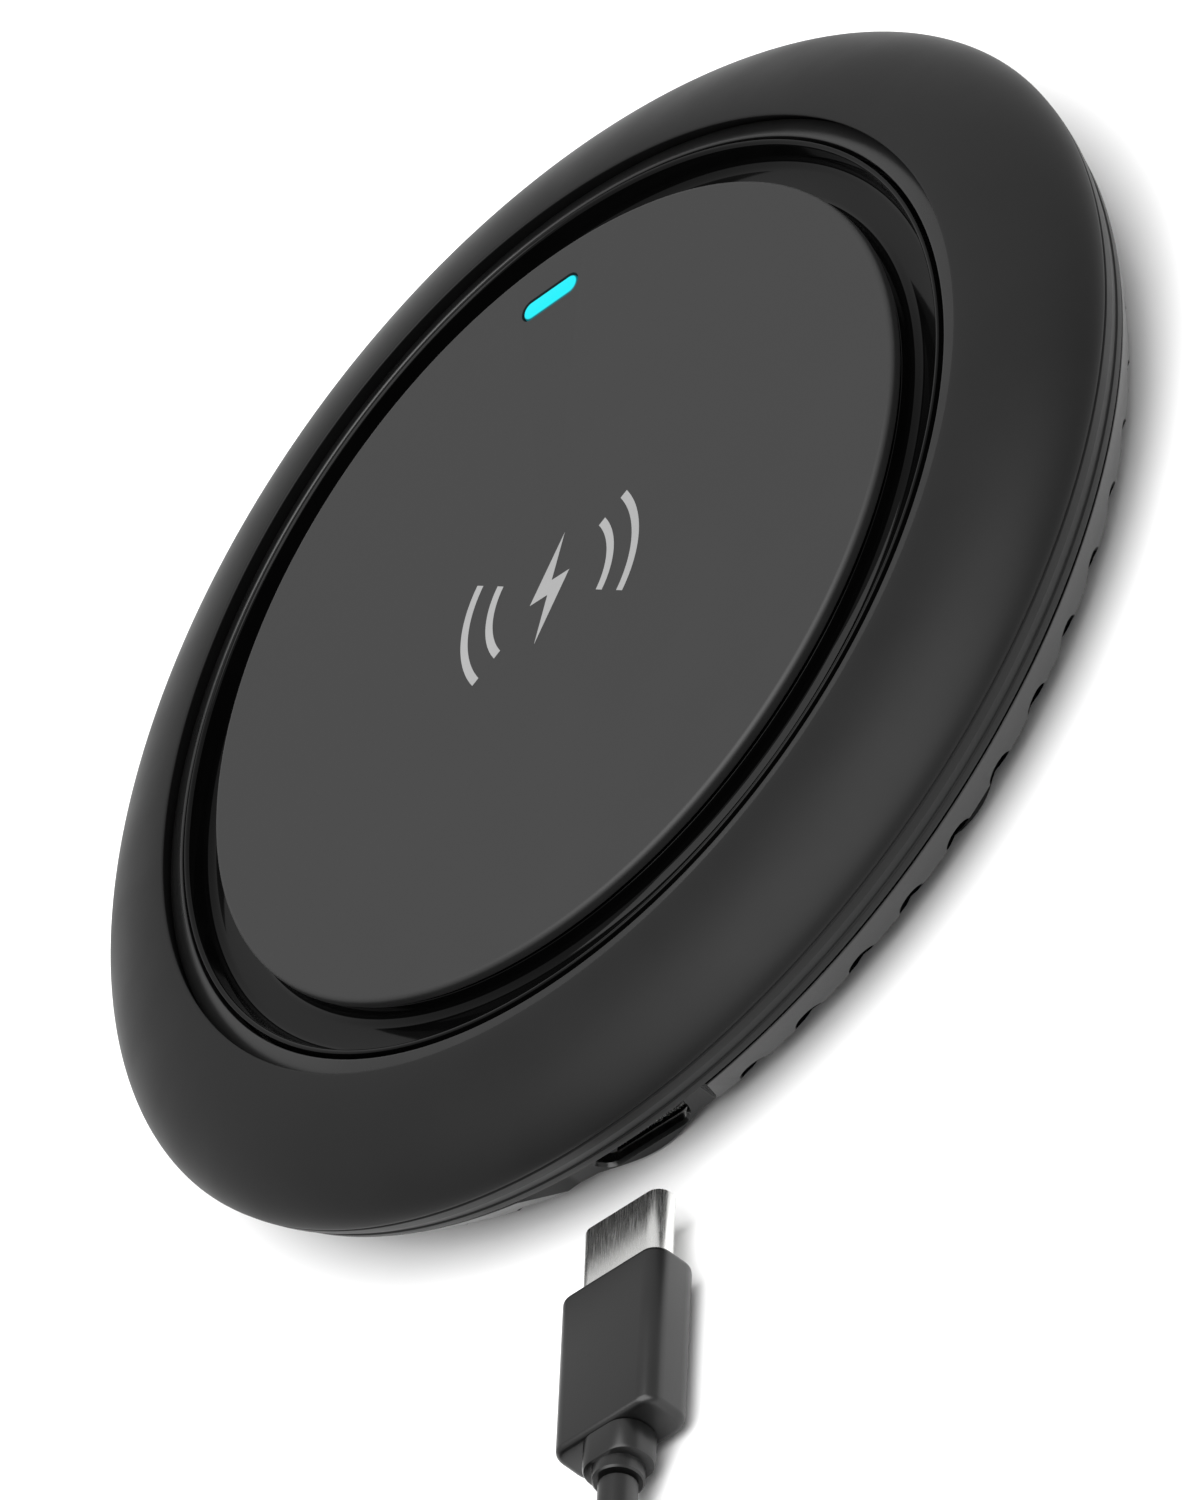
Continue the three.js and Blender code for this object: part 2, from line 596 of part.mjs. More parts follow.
function addBoardParts(group) {
  for (const { name, size, centre, under } of BOARD_PARTS) {
    const [width, depth, height] = size;
    const z = under ? boardBottom - SOLDER - height / 2 : boardTop + SOLDER + height / 2;
    const kind = name.replace(/_\d$/, "");
    const material = CHIP_FINISH[kind] ?? FINISH.chip;
    mesh(group, name, new THREE.BoxGeometry(width, depth, height), material, new THREE.Vector3(...centre, z));
  }
  const chip = BOARD_PARTS[0];
  const chipBottom = boardBottom - SOLDER - chip.size[2];
  const [padWidth, padDepth] = chip.size.map((size) => size + 2 * THERMAL_PAD_MARGIN);
  const pad = new THREE.BoxGeometry(padWidth, padDepth, chipBottom - floorTop - 2 * SOLDER);
  const padPlace = new THREE.Vector3(...chip.centre, (chipBottom + floorTop) / 2);
  mesh(group, "thermal_pad", pad, FINISH.ferrite, padPlace);
  const led = new THREE.BoxGeometry(...STATUS_LED).rotateZ(Math.PI / 2 + radians(LED.angle));
  mesh(group, "status_led", led, FINISH.nylon, ledPlace(boardTop + SOLDER + STATUS_LED[2] / 2));
  const bead = new THREE.BoxGeometry(...THERMISTOR);
  const beadPlace = new THREE.Vector3(0, 0, ferriteTop + SOLDER + THERMISTOR[2] / 2);
  mesh(group, "coil_thermistor", bead, FINISH.chip, beadPlace);
}

function screw() {
  const { headRadius, headHeight, shankRadius, length } = SCREW;
  return turned([
    [0, -headHeight],
    [headRadius, -headHeight],
    [headRadius, -0.25 * headHeight],
    [0.8 * headRadius, 0],
    [shankRadius, 0],
    [shankRadius, length - 0.8],
    [0, length],
  ], 16);
}

function foot() {
  const { radius, height } = FOOT;
  return turned([
    [0, 0],
    [radius - 0.3, 0],
    [radius, 0.3],
    [radius, height],
    [0, height],
  ], 24);
}

function buildPad() {
  const pad = new THREE.Group();
  mesh(pad, "top_housing", topHousing(), FINISH.softTouch);
  mesh(pad, "trim_ring", trimRing(), FINISH.trim);
  mesh(pad, "moat_ring", moatRing(), FINISH.gloss);
  mesh(pad, "charging_plate", chargingPlate(), FINISH.plate);
  mesh(pad, "led_light_pipe", lightPipe(), FINISH.lens);
  mesh(pad, "bottom_cover", bottomCover(), FINISH.cover);
  CORNER_ANGLES.forEach((angle, index) => {
    mesh(pad, `foot_${index + 1}`, foot(), FINISH.rubber, atAngle(screwCircle, angle));
    mesh(pad, `screw_${index + 1}`, screw(), FINISH.steel, atAngle(screwCircle, angle, screwSeat));
  });
  mesh(pad, "transmitter_coil", transmitterCoil(), FINISH.copper);
  mesh(pad, "ferrite_sheet", ferriteSheet(), FINISH.ferrite);
  mesh(pad, "coil_carrier", coilCarrier(), FINISH.nylon);
  const coilMiddle = (coilTop + coilBottom) / 2;
  const outerEnd = coilOuter + COIL.wire / 2 + GAP;
  const innerEnd = COIL.innerRadius - COIL.wire / 2 - GAP;
  const outerLead = coilLead(outerLeadAngle, outerEnd, outerLeadRadius, coilMiddle, GAP);
  const innerLead = coilLead(innerLeadAngle, innerEnd, innerLeadRadius, coilMiddle, GAP);
  mesh(pad, "coil_lead_outer", outerLead, FINISH.copper);
  mesh(pad, "coil_lead_inner", innerLead, FINISH.copper);
  mesh(pad, "main_board", mainBoard(), FINISH.board);
  mesh(pad, "usb_c_receptacle_shell", receptacleShell(), FINISH.steel);
  mesh(pad, "usb_c_receptacle_tongue", receptacleTongue(), FINISH.insulator);
  addBoardParts(pad);
  return pad;
}

// ---------------------------------------------------------------- cable

// A rounded bar, a little slimmer at both ends.
function overmoldBody() {
  const { width, height, chamfer } = OVERMOLD;
  const radius = height / 2 - GAP;
  const middle = prismAlongY(rounded(width, height, radius), overmoldBack + chamfer, overmoldFront - chamfer);
  const slimmer = rounded(width - chamfer, height - chamfer, radius - chamfer / 2);
  return join(middle, prismAlongY(slimmer, overmoldBack, overmoldFront));
}

function addPlug(cable) {
  const { width, height, wall } = PLUG_SHELL;
  const tube = roundedTube(width, height, height / 2 - 0.05, wall);
  const shell = prismAlongY(tube, overmoldFront + SOLDER, 0);
  const room = wall + GAP / 2;
  const insert = prismAlongY(
    rounded(width - 2 * room, height - 2 * room, height / 2 - room - 0.1),
    overmoldFront + SOLDER,
    overmoldFront + SOLDER + PLUG_SHELL.insert,
  );
  const overmold = overmoldBody();
  const collarFront = overmoldBack - SOLDER;
  const collarOutline = rounded(COLLAR.width, COLLAR.height, COLLAR.height / 2 - 0.2);
  const neck = new THREE.Shape().absarc(0, 0, COLLAR.neckRadius, 0, 2 * Math.PI, false);
  const collar = join(
    prismAlongY(collarOutline, overmoldBack - COLLAR.length, collarFront),
    prismAlongY(neck, collarBack, collarFront, 6),
  );
  const place = new THREE.Vector3(0, 0, PORT_HEIGHT);
  mesh(cable, "usb_c_plug_shell", shell, FINISH.steel, place);
  mesh(cable, "usb_c_plug_insert", insert, FINISH.insulator, place);
  mesh(cable, "usb_c_overmold", overmold, FINISH.cord, place);
  mesh(cable, "usb_c_strain_relief", collar, FINISH.cord, place);
}

// The cord's stretch from the plug to the coil: points chosen by hand, x, y and z in the cable's frame.
const CORD_ROUTE = [
  [0, -25.95, 3.0],
  [0, -27.2, 3.0],
  [0, -28.6, 2.97],
  [0, -30.0, 2.89],
  [0, -31.4, 2.75],
  [0, -32.8, 2.57],
  [0, -34.2, 2.38],
  [0, -35.6, 2.21],
  [0, -37.0, 2.11],
  [0, -38.1, 2.08],
];

// The cord's stretch from the top of the coil down to the far plug, in the cable's frame.
const TAIL_ROUTE = [
  [-31.9, -69.2, 7.95],
  [-34.0, -69.2, 7.6],
  [-36.0, -69.2, 7.1],
  [-38.0, -69.2, 6.5],
  [-40.0, -69.2, 5.9],
  [-42.0, -69.2, 5.3],
  [-44.0, -69.2, 4.8],
  [-46.0, -69.2, 4.4],
  [-48.0, -69.2, 4.15],
  [-50.0, -69.2, 4.05],
  [-51.5, -69.2, 4.05],
];

const points3 = (route) => route.map(([x, y, z]) => new THREE.Vector3(x, y, z));

function addFarPlug(cable) {
  const start = TAIL_ROUTE.at(-1);
  const place = new THREE.Vector3(start[0] - GAP, start[1], start[2]);
  const alongX = (geometry) => geometry.rotateZ(Math.PI / 2);
  const reliefEnd = USB_A.reliefLength;
  const bodyEnd = reliefEnd + USB_A.length;
  const { reliefRadius, width, height } = USB_A;
  const relief = turned([
    [0, 0],
    [CORD_DIAMETER / 2 + 0.4, 0],
    [reliefRadius, reliefEnd - SOLDER],
    [0, reliefEnd - SOLDER],
  ], 16).rotateX(-Math.PI / 2);
  const body = prismAlongY(rounded(width, height, USB_A.radius), reliefEnd, bodyEnd);
  const shellTube = roundedTube(USB_A_SHELL.width, USB_A_SHELL.height, USB_A_SHELL.radius, USB_A_SHELL.wall);
  const shell = prismAlongY(shellTube, bodyEnd + SOLDER, bodyEnd + USB_A_SHELL.length, 2);
  const tongueEnd = bodyEnd + USB_A_SHELL.length - USB_A_TONGUE.setback;
  const tongueLow = -USB_A_SHELL.height / 2 + USB_A_SHELL.wall + SOLDER;
  const tongue = block(
    [-USB_A_TONGUE.width / 2, bodyEnd + SOLDER, tongueLow],
    [USB_A_TONGUE.width / 2, tongueEnd, tongueLow + USB_A_TONGUE.height],
  );
  mesh(cable, "usb_a_strain_relief", alongX(relief), FINISH.cord, place);
  mesh(cable, "usb_a_overmold", alongX(body), FINISH.cord, place);
  mesh(cable, "usb_a_plug_shell", alongX(shell), FINISH.steel, place);
  mesh(cable, "usb_a_plug_tongue", alongX(tongue), FINISH.insulator, place);
}

function addCord(cable) {
  const bottom = coilLift;
  const top = bottom + ringHeight;
  const { edge } = COIL_OF_CORD;
  const ring = turned([
    [ringInner + edge, bottom],
    [ringOuter - edge, bottom],
    [ringOuter, bottom + edge],
    [ringOuter, top - edge],
    [ringOuter - edge, top],
    [ringInner + edge, top],
    [ringInner, top - edge],
    [ringInner, bottom + edge],
  ], 36);
  const sagRoom = 2 * GAP; // the band is straight and the coil is curved
  const innerWidth = 2 * (ringHalfWidth + TIE.clearance) + sagRoom;
  const innerHeight = ringHeight + 2 * TIE.clearance;
  const wall = 2 * TIE.thickness;
  const band = rounded(innerWidth + wall, innerHeight + wall, TIE.innerRadius + TIE.thickness);
  band.holes.push(roundedOutline(THREE.Path, innerWidth, innerHeight, TIE.innerRadius));
  const tie = prismAlongY(band, -TIE.width / 2, TIE.width / 2)
    .translate(COIL_OF_CORD.meanRadius, 0, (bottom + top) / 2)
    .rotateZ(radians(TIE.angle));
  const centre = new THREE.Vector3(ringX, ringY, 0);
  mesh(cable, "cord_coil", ring, FINISH.cord, centre);
  mesh(cable, "cord_tie", tie, FINISH.rubber, centre);
  mesh(cable, "cord_to_coil", wire(points3(CORD_ROUTE), CORD_DIAMETER / 2, 6), FINISH.cord);
  mesh(cable, "cord_to_far_plug", wire(points3(TAIL_ROUTE), CORD_DIAMETER / 2, 9), FINISH.cord);
}

function buildCable() {
  const cable = new THREE.Group();
  cable.position.set(0, -(PAD_RADIUS + PLUG_TIP_AWAY), 0);
  addPlug(cable);
  addCord(cable);
  addFarPlug(cable);
  return cable;
}

const chargingPad = new THREE.Group();
chargingPad.add(buildPad(), buildCable());

export default chargingPad;
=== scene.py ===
"""The looks of a round wireless charging pad and its USB-C cable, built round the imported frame.

Sizes in the classes are millimetres and MM turns them into Blender's metres. z = 0 is the table, the pad stands on
the Z axis, its port faces -Y, and the cable lies unplugged in front of the port.
"""

import logging
import math
from dataclasses import dataclass
from enum import Enum
from typing import Optional, Sequence

import bmesh
import bpy
import numpy as np
from mathutils import Matrix, Vector


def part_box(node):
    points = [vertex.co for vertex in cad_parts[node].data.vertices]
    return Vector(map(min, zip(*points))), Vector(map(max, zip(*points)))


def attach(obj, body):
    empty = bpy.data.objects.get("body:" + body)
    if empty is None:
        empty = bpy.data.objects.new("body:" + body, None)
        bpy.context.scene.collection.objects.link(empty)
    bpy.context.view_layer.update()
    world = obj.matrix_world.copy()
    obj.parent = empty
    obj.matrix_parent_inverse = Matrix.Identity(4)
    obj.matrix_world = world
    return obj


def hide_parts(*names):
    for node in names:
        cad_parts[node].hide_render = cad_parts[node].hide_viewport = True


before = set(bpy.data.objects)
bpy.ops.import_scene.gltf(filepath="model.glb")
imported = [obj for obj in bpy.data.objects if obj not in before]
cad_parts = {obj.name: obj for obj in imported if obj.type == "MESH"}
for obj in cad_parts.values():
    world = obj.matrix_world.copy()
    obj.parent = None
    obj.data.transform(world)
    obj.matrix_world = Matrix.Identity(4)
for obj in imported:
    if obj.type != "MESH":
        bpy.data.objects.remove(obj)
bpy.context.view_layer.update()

MM = 0.001

logging.basicConfig(level=logging.INFO, format="%(name)s: %(message)s")
LOG = logging.getLogger("charging_pad")

Array = np.ndarray
Corner = tuple[float, float, float]


# ---------------------------------------------------------------- colour and nodes


def linear(hex_code: str) -> tuple[float, float, float, float]:
    """An sRGB hex colour as linear RGBA.

    Args:
        hex_code: six hex digits, such as "4b4b4b".

    Returns:
        The linear red, green and blue, and an alpha of 1.
    """
    srgb = np.array([int(hex_code[place : place + 2], 16) for place in (0, 2, 4)]) / 255
    low = srgb / 12.92
    high = ((srgb + 0.055) / 1.055) ** 2.4
    red, green, blue = np.where(srgb <= 0.04045, low, high)
    return float(red), float(green), float(blue), 1.0


def add(tree: bpy.types.NodeTree, kind: str, inputs: Optional[dict] = None, **settings: object) -> bpy.types.Node:
    """Adds one shader node with its settings, its values and its links.

    Args:
        tree: the node tree.
        kind: the node's type name without its ShaderNode prefix.
        inputs: socket name or place to a value, or to the output socket that feeds it.
        settings: the node's own properties.

    Returns:
        The new node.
    """
    node = tree.nodes.new("ShaderNode" + kind)
    for key, value in settings.items():
        setattr(node, key, value)
    for key, value in (inputs or {}).items():
        if isinstance(value, bpy.types.NodeSocket):
            tree.links.new(value, node.inputs[key])
        else:
            node.inputs[key].default_value = value
    return node


def blank_material(name: str) -> tuple[bpy.types.Material, bpy.types.NodeTree, bpy.types.Node]:
    """A new material with only a Principled shader in it.

    Args:
        name: the material's name.

    Returns:
        The material, its node tree and the shader.
    """
    material = bpy.data.materials.new(name)
    material.use_nodes = True
    tree = material.node_tree
    tree.nodes.clear()
    shader = add(tree, "BsdfPrincipled")
    add(tree, "OutputMaterial", {"Surface": shader.outputs["BSDF"]})
    return material, tree, shader


def noise(
    tree: bpy.types.NodeTree, size_mm: float, detail: float = 2.0, stretch: Sequence[float] = (1, 1, 1)
) -> bpy.types.Node:
    """A noise texture on Object coordinates.

    Args:
        tree: the node tree.
        size_mm: the size of one blotch.
        detail: octaves of finer noise.
        stretch: how much faster the noise runs along each axis.

    Returns:
        The noise node.
    """
    place = add(tree, "TexCoord").outputs["Object"]
    mapped = add(tree, "Mapping", {"Vector": place, "Scale": tuple(stretch)}).outputs["Vector"]
    return add(tree, "TexNoise", {"Vector": mapped, "Scale": 1 / (size_mm * MM), "Detail": detail})


def between(
    tree: bpy.types.NodeTree, value: bpy.types.NodeSocket, low: float, high: float
) -> bpy.types.NodeSocket:
    """The socket's value, brought from the middle of a noise's range to low...high.

    Args:
        tree: the node tree.
        value: a noise's factor.
        low: the result at the noise's usual low.
        high: the result at its usual high.

    Returns:
        The output socket.
    """
    sockets = {"Value": value, "From Min": 0.3, "From Max": 0.7, "To Min": low, "To Max": high}
    return add(tree, "MapRange", sockets).outputs["Result"]


def blended(
    tree: bpy.types.NodeTree, share: bpy.types.NodeSocket, first: str, second: str
) -> bpy.types.NodeSocket:
    """Two hex colours mixed by a socket.

    Args:
        tree: the node tree.
        share: 0 gives the first colour and 1 the second.
        first: a hex colour.
        second: a hex colour.

    Returns:
        The colour socket.
    """
    mix = add(tree, "Mix", {"Factor": share}, data_type="RGBA")
    mix.inputs[6].default_value = linear(first)
    mix.inputs[7].default_value = linear(second)
    return mix.outputs[2]


# ---------------------------------------------------------------- finishes


@dataclass(frozen=True)
class Moulding:
    """Injection-moulded plastic or rubber: one colour with slight mottling, and the grain of its mould."""

    name: str
    colour: str
    mottle: str
    roughness: float
    grain_mm: float
    depth_mm: float
    wear: float = 0.04
    ior: float = 1.5
    coat: float = 0.0
    coat_roughness: float = 0.1

    def material(self) -> bpy.types.Material:
        """Returns the material: mottled colour, uneven gloss and a fine bump."""
        material, tree, shader = blank_material(self.name)
        clouds = noise(tree, 9.0, 4.0).outputs["Fac"]
        grain = noise(tree, self.grain_mm, 3.0).outputs["Fac"]
        share = between(tree, clouds, 0.0, 1.0)
        gloss = between(tree, clouds, self.roughness - self.wear, self.roughness + self.wear)
        height = {"Height": grain, "Distance": self.depth_mm * MM, "Strength": 1.0}
        tree.links.new(blended(tree, share, self.colour, self.mottle), shader.inputs["Base Color"])
        tree.links.new(gloss, shader.inputs["Roughness"])
        tree.links.new(add(tree, "Bump", height).outputs["Normal"], shader.inputs["Normal"])
        shader.inputs["IOR"].default_value = self.ior
        shader.inputs["Coat Weight"].default_value = self.coat
        shader.inputs["Coat Roughness"].default_value = self.coat_roughness
        return material


@dataclass(frozen=True)
class Metal:
    """Plated or drawn metal: fine lines along one axis."""

    name: str
    colour: str
    tarnish: str
    roughness: float
    line_mm: float
    depth_mm: float
    stretch: tuple[float, float, float] = (1.0, 0.05, 1.0)

    def material(self) -> bpy.types.Material:
        """Returns the material: drawn lines in gloss and bump, and a faint tarnish."""
        material, tree, shader = blank_material(self.name)
        lines = noise(tree, self.line_mm, 2.0, self.stretch).outputs["Fac"]
        stains = noise(tree, 4.0, 3.0).outputs["Fac"]
        height = {"Height": lines, "Distance": self.depth_mm * MM, "Strength": 1.0}
        colour = blended(tree, between(tree, stains, 0.0, 1.0), self.colour, self.tarnish)
        tree.links.new(colour, shader.inputs["Base Color"])
        gloss = between(tree, lines, self.roughness * 0.7, self.roughness * 1.3)
        tree.links.new(gloss, shader.inputs["Roughness"])
        tree.links.new(add(tree, "Bump", height).outputs["Normal"], shader.inputs["Normal"])
        shader.inputs["Metallic"].default_value = 1.0
        return material


@dataclass(frozen=True)
class Stranded:
    """Enamelled litz wire: strands that run round the Z axis, as copper hair lines with darker painted shade in the
    gaps between them.
    """

    name: str = "enamelled_copper_litz"
    colour: str = "b8683a"
    # The colour of the gaps between strands: painted shade, darker than the copper.
    gap_shade: str = "5a2c14"
    strand_mm: float = 0.18

    def material(self) -> bpy.types.Material:
        """Returns the material: rings a strand apart, with a little twist, and painted shade in the gaps between
        them.
        """
        material, tree, shader = blank_material(self.name)
        place = add(tree, "TexCoord").outputs["Object"]
        rings = {"Vector": place, "Scale": 0.05 / (self.strand_mm * MM), "Distortion": 1.5, "Detail": 1.0}
        wave = add(tree, "TexWave", rings, wave_type="RINGS", rings_direction="Z").outputs["Fac"]
        height = {"Height": wave, "Distance": 0.03 * MM, "Strength": 1.0}
        tree.links.new(blended(tree, wave, self.gap_shade, self.colour), shader.inputs["Base Color"])
        tree.links.new(add(tree, "Bump", height).outputs["Normal"], shader.inputs["Normal"])
        shader.inputs["Metallic"].default_value = 0.8
        shader.inputs["Roughness"].default_value = 0.35
        return material


@dataclass(frozen=True)
class SolderMask:
    """A printed circuit board: green solder mask over copper tracks that show as lighter, raised lines."""

    name: str = "solder_mask_on_glass_epoxy"
    mask: str = "14502c"
    track: str = "2b7a48"
    track_mm: float = 1.6

    def material(self) -> bpy.types.Material:
        """Returns the material: a grid of tracks under a glossy mask."""
        material, tree, shader = blank_material(self.name)
        place = add(tree, "TexCoord").outputs["Object"]
        scaled = {"Vector": place, "Scale": 1 / (self.track_mm * MM)}
        cells = add(tree, "TexVoronoi", scaled, feature="F1", distance="CHEBYCHEV")
        edge = between(tree, cells.outputs["Distance"], 0.0, 1.0)
        height = {"Height": edge, "Distance": 0.03 * MM, "Strength": 1.0}
        tree.links.new(blended(tree, edge, self.mask, self.track), shader.inputs["Base Color"])
        tree.links.new(add(tree, "Bump", height).outputs["Normal"], shader.inputs["Normal"])
        shader.inputs["Roughness"].default_value = 0.3
        shader.inputs["Coat Weight"].default_value = 0.5
        return material


@dataclass(frozen=True)
class LightPipe:
    """Frosted acrylic over a cyan diode: its top shines and its rounded edge stays a dark teal."""

    name: str = "frosted_acrylic_lit_cyan"
    colour: str = "00f0fa"
    edge: str = "00606a"
    body: str = "012c30"
    strength: float = 0.95
    edge_from: float = 0.8
    edge_to: float = 0.97

    def material(self) -> bpy.types.Material:
        """Returns the material, whose glow grows with how far the surface faces up."""
        material, tree, shader = blank_material(self.name)
        normal = add(tree, "NewGeometry").outputs["Normal"]
        upward = add(tree, "SeparateXYZ", {"Vector": normal}).outputs["Z"]
        rising = {"Value": upward, "From Min": self.edge_from, "From Max": self.edge_to}
        share = add(tree, "MapRange", rising).outputs["Result"]
        frost = add(tree, "Bump", {"Height": noise(tree, 0.15).outputs["Fac"], "Distance": 0.003 * MM})
        tree.links.new(blended(tree, share, self.edge, self.colour), shader.inputs["Emission Color"])
        tree.links.new(frost.outputs["Normal"], shader.inputs["Normal"])
        shader.inputs["Base Color"].default_value = linear(self.body)
        shader.inputs["Emission Strength"].default_value = self.strength
        shader.inputs["Roughness"].default_value = 0.5
        shader.inputs["IOR"].default_value = 1.3
        return material


# Soft-touch lacquer on ABS scatters light softly, so the dome shows only broad shading.
SOFT_TOUCH = Moulding("soft_touch_lacquer_on_abs", "0d0d0d", "101010", 0.48, 0.25, 0.0025, ior=1.28)
# The plate is moulded against a fine spark-eroded tool, which gives an even matt grey.
PLATE_ABS = Moulding("spark_textured_abs_plate", "171717", "1a1a1a", 0.55, 0.22, 0.004)
# Polished polycarbonate is a black mirror: only the room shows in it.
GLOSS_BLACK = Moulding("polished_black_polycarbonate", "040404", "060606", 0.07, 6.0, 0.002, 0.02, ior=1.22)
# The step ring is satin ABS, a shade lighter than the gloss beside it.
TRIM_ABS = Moulding("satin_abs_trim", "101010", "141414", 0.3, 0.3, 0.002)
# The bottom cover is a harder, shinier ABS than the dome and mirrors the table.
COVER_ABS = Moulding("moulded_abs_cover", "0b0b0b", "101010", 0.15, 0.3, 0.0015)
# Silicone feet are dull and grip dust, which lightens them a little.
FOOT_RUBBER = Moulding("matt_silicone_rubber", "161616", "1c1c1c", 0.85, 0.2, 0.01)
# Unfilled nylon is a warm off-white.
NYLON = Moulding("natural_nylon", "d2cfc2", "dad8cd", 0.5, 0.4, 0.004)
# Chips are cast in matt black epoxy.
EPOXY = Moulding("black_epoxy_moulding", "17171a", "1d1d20", 0.55, 0.15, 0.006)
# Ceramic capacitors are tan with a dull glaze.
CERAMIC = Moulding("tan_multilayer_ceramic", "b8976a", "a98a5e", 0.45, 0.2, 0.003)
# Pressed iron powder is grey and grainy.
IRON_POWDER = Moulding("pressed_iron_powder", "45464a", "3b3c40", 0.6, 0.15, 0.01)
# Ferrite is a dark ceramic, here under a clear film that gives it a second gloss.
FERRITE = Moulding("sintered_ferrite_in_film", "2c2e31", "33363a", 0.35, 0.5, 0.006, coat=0.4)
# Thermal silicone is a soft, chalky blue-grey.
GAP_PAD = Moulding("thermal_silicone", "8fa4b8", "879bb0", 0.8, 0.3, 0.01)
# The diode's white package throws its light back up the pipe.
LED_PACKAGE = Moulding("white_led_package", "e8e6df", "dedcd4", 0.5, 0.3, 0.002)
# Contact carriers are glass-filled liquid crystal polymer: black with a dull sheen.
LIQUID_CRYSTAL = Moulding("glass_filled_lcp", "141416", "1b1b1e", 0.45, 0.2, 0.004)
# The overmould is satin thermoplastic elastomer: a soft sheen along its long edges.
OVERMOULD = Moulding("satin_tpe_overmould", "080808", "0c0c0c", 0.34, 0.25, 0.003)
# The cord's jacket is a little duller than its overmould.
JACKET = Moulding("tpe_cord_jacket", "080808", "0c0c0c", 0.38, 0.4, 0.006)
# The tie is plain silicone, a shade lighter than the cord that it holds.
TIE_RUBBER = Moulding("silicone_tie", "1a1a1a", "202020", 0.6, 0.3, 0.008)
# Pad printing leaves a thin, even mid-grey film.
PRINT_INK = Moulding("pad_printed_ink", "848484", "8c8c8c", 0.5, 0.1, 0.002)
# Nickel plate over drawn stainless steel: a bright mirror with lines along the drawing direction.
NICKEL = Metal("nickel_plated_steel", "f4f4f2", "ececea", 0.24, 0.1, 0.00012)
# Zinc-plated screws are mid grey and evenly dull.
ZINC = Metal("black_zinc_screw_steel", "77777a", "606064", 0.35, 0.2, 0.002, (1.0, 1.0, 1.0))
# The contacts are flashed with gold, warm against the dark insert.
GOLD = Metal("gold_plated_contact", "d8b25a", "cfa64c", 0.25, 0.2, 0.001)
# Litz wire is a flat bundle of hair-thin copper strands, so the coil shows rings of copper with painted shade in the
# gaps between strands.
LITZ = Stranded()
# The board is green under a glossy mask, with its tracks just showing.
BOARD = SolderMask()
# Frosted acrylic spreads the diode's light into one even cyan bar.
CYAN_PIPE = LightPipe()
# The table is matt white paper, so its shadows stay soft.
PAPER = Moulding("white_paper_sweep", "f4f4f4", "f6f6f6", 0.9, 40.0, 0.001, 0.02)


class Workshop:
    """Hands out one material for each finish, made the first time it is asked for."""

    def __init__(self) -> None:
        """Starts with no materials."""
        self.made: dict[str, bpy.types.Material] = {}

    def paint(self, piece: bpy.types.Object, finish: object) -> None:
        """Gives the piece the finish as its only material.

        Args:
            piece: a mesh object.
            finish: one of the finishes above.
        """
        if finish.name not in self.made:
            self.made[finish.name] = finish.material()
        piece.data.materials.clear()
        piece.data.materials.append(self.made[finish.name])


WORKSHOP = Workshop()


# ---------------------------------------------------------------- shapes

GAP = 0.3  # the running gap between neighbouring mouldings
SEAM = 0.1  # between pieces that are glued or moulded to each other


def filleted(corners: Sequence[Corner], closed: bool, steps: int = 6) -> Array:
    """A polyline whose corners are rounded by arcs.

    Each arc touches both of its corner's sides. Its centre lies on the corner's bisector, a radius over the sine
    of half the angle away from the corner.

    Args:
        corners: first coordinate, second coordinate and fillet radius of each corner.
        closed: whether the last corner joins the first.
        steps: arc pieces at each corner.

    Returns:
        The points, one row each.
    """
    points = np.array([corner[:2] for corner in corners], float)
    found = []
    for index, (_, _, radius) in enumerate(corners):
        here = points[index]
        if radius <= 0 or (not closed and index in (0, len(corners) - 1)):
            found.append(here[None])
            continue
        back = points[index - 1] - here
        ahead = points[(index + 1) % len(points)] - here
        back, ahead = back / np.linalg.norm(back), ahead / np.linalg.norm(ahead)
        half = math.acos(float(np.clip(back @ ahead, -1, 1))) / 2
        bisector = (back + ahead) / np.linalg.norm(back + ahead)
        centre = here + bisector * radius / math.sin(half)
        start = here + back * radius / math.tan(half) - centre
        finish = here + ahead * radius / math.tan(half) - centre
        swing = math.atan2(start[0] * finish[1] - start[1] * finish[0], start @ finish)
        angles = np.linspace(0, swing, steps + 1)
        side = np.array([-start[1], start[0]])
        found.append(centre + np.cos(angles)[:, None] * start + np.sin(angles)[:, None] * side)
    return np.concatenate(found)


def outline(width: float, height: float, radius: float, steps: int = 8) -> Array:
    """A rectangle with rounded corners about the origin.

    Args:
        width: its size along the first axis.
        height: its size along the second.
        radius: of its corners.
        steps: arc pieces at each corner.

    Returns:
        Rows of two coordinates.
    """
    x, y = width / 2, height / 2
    return filleted([(x, -y, radius), (x, y, radius), (-x, y, radius), (-x, -y, radius)], True, steps)


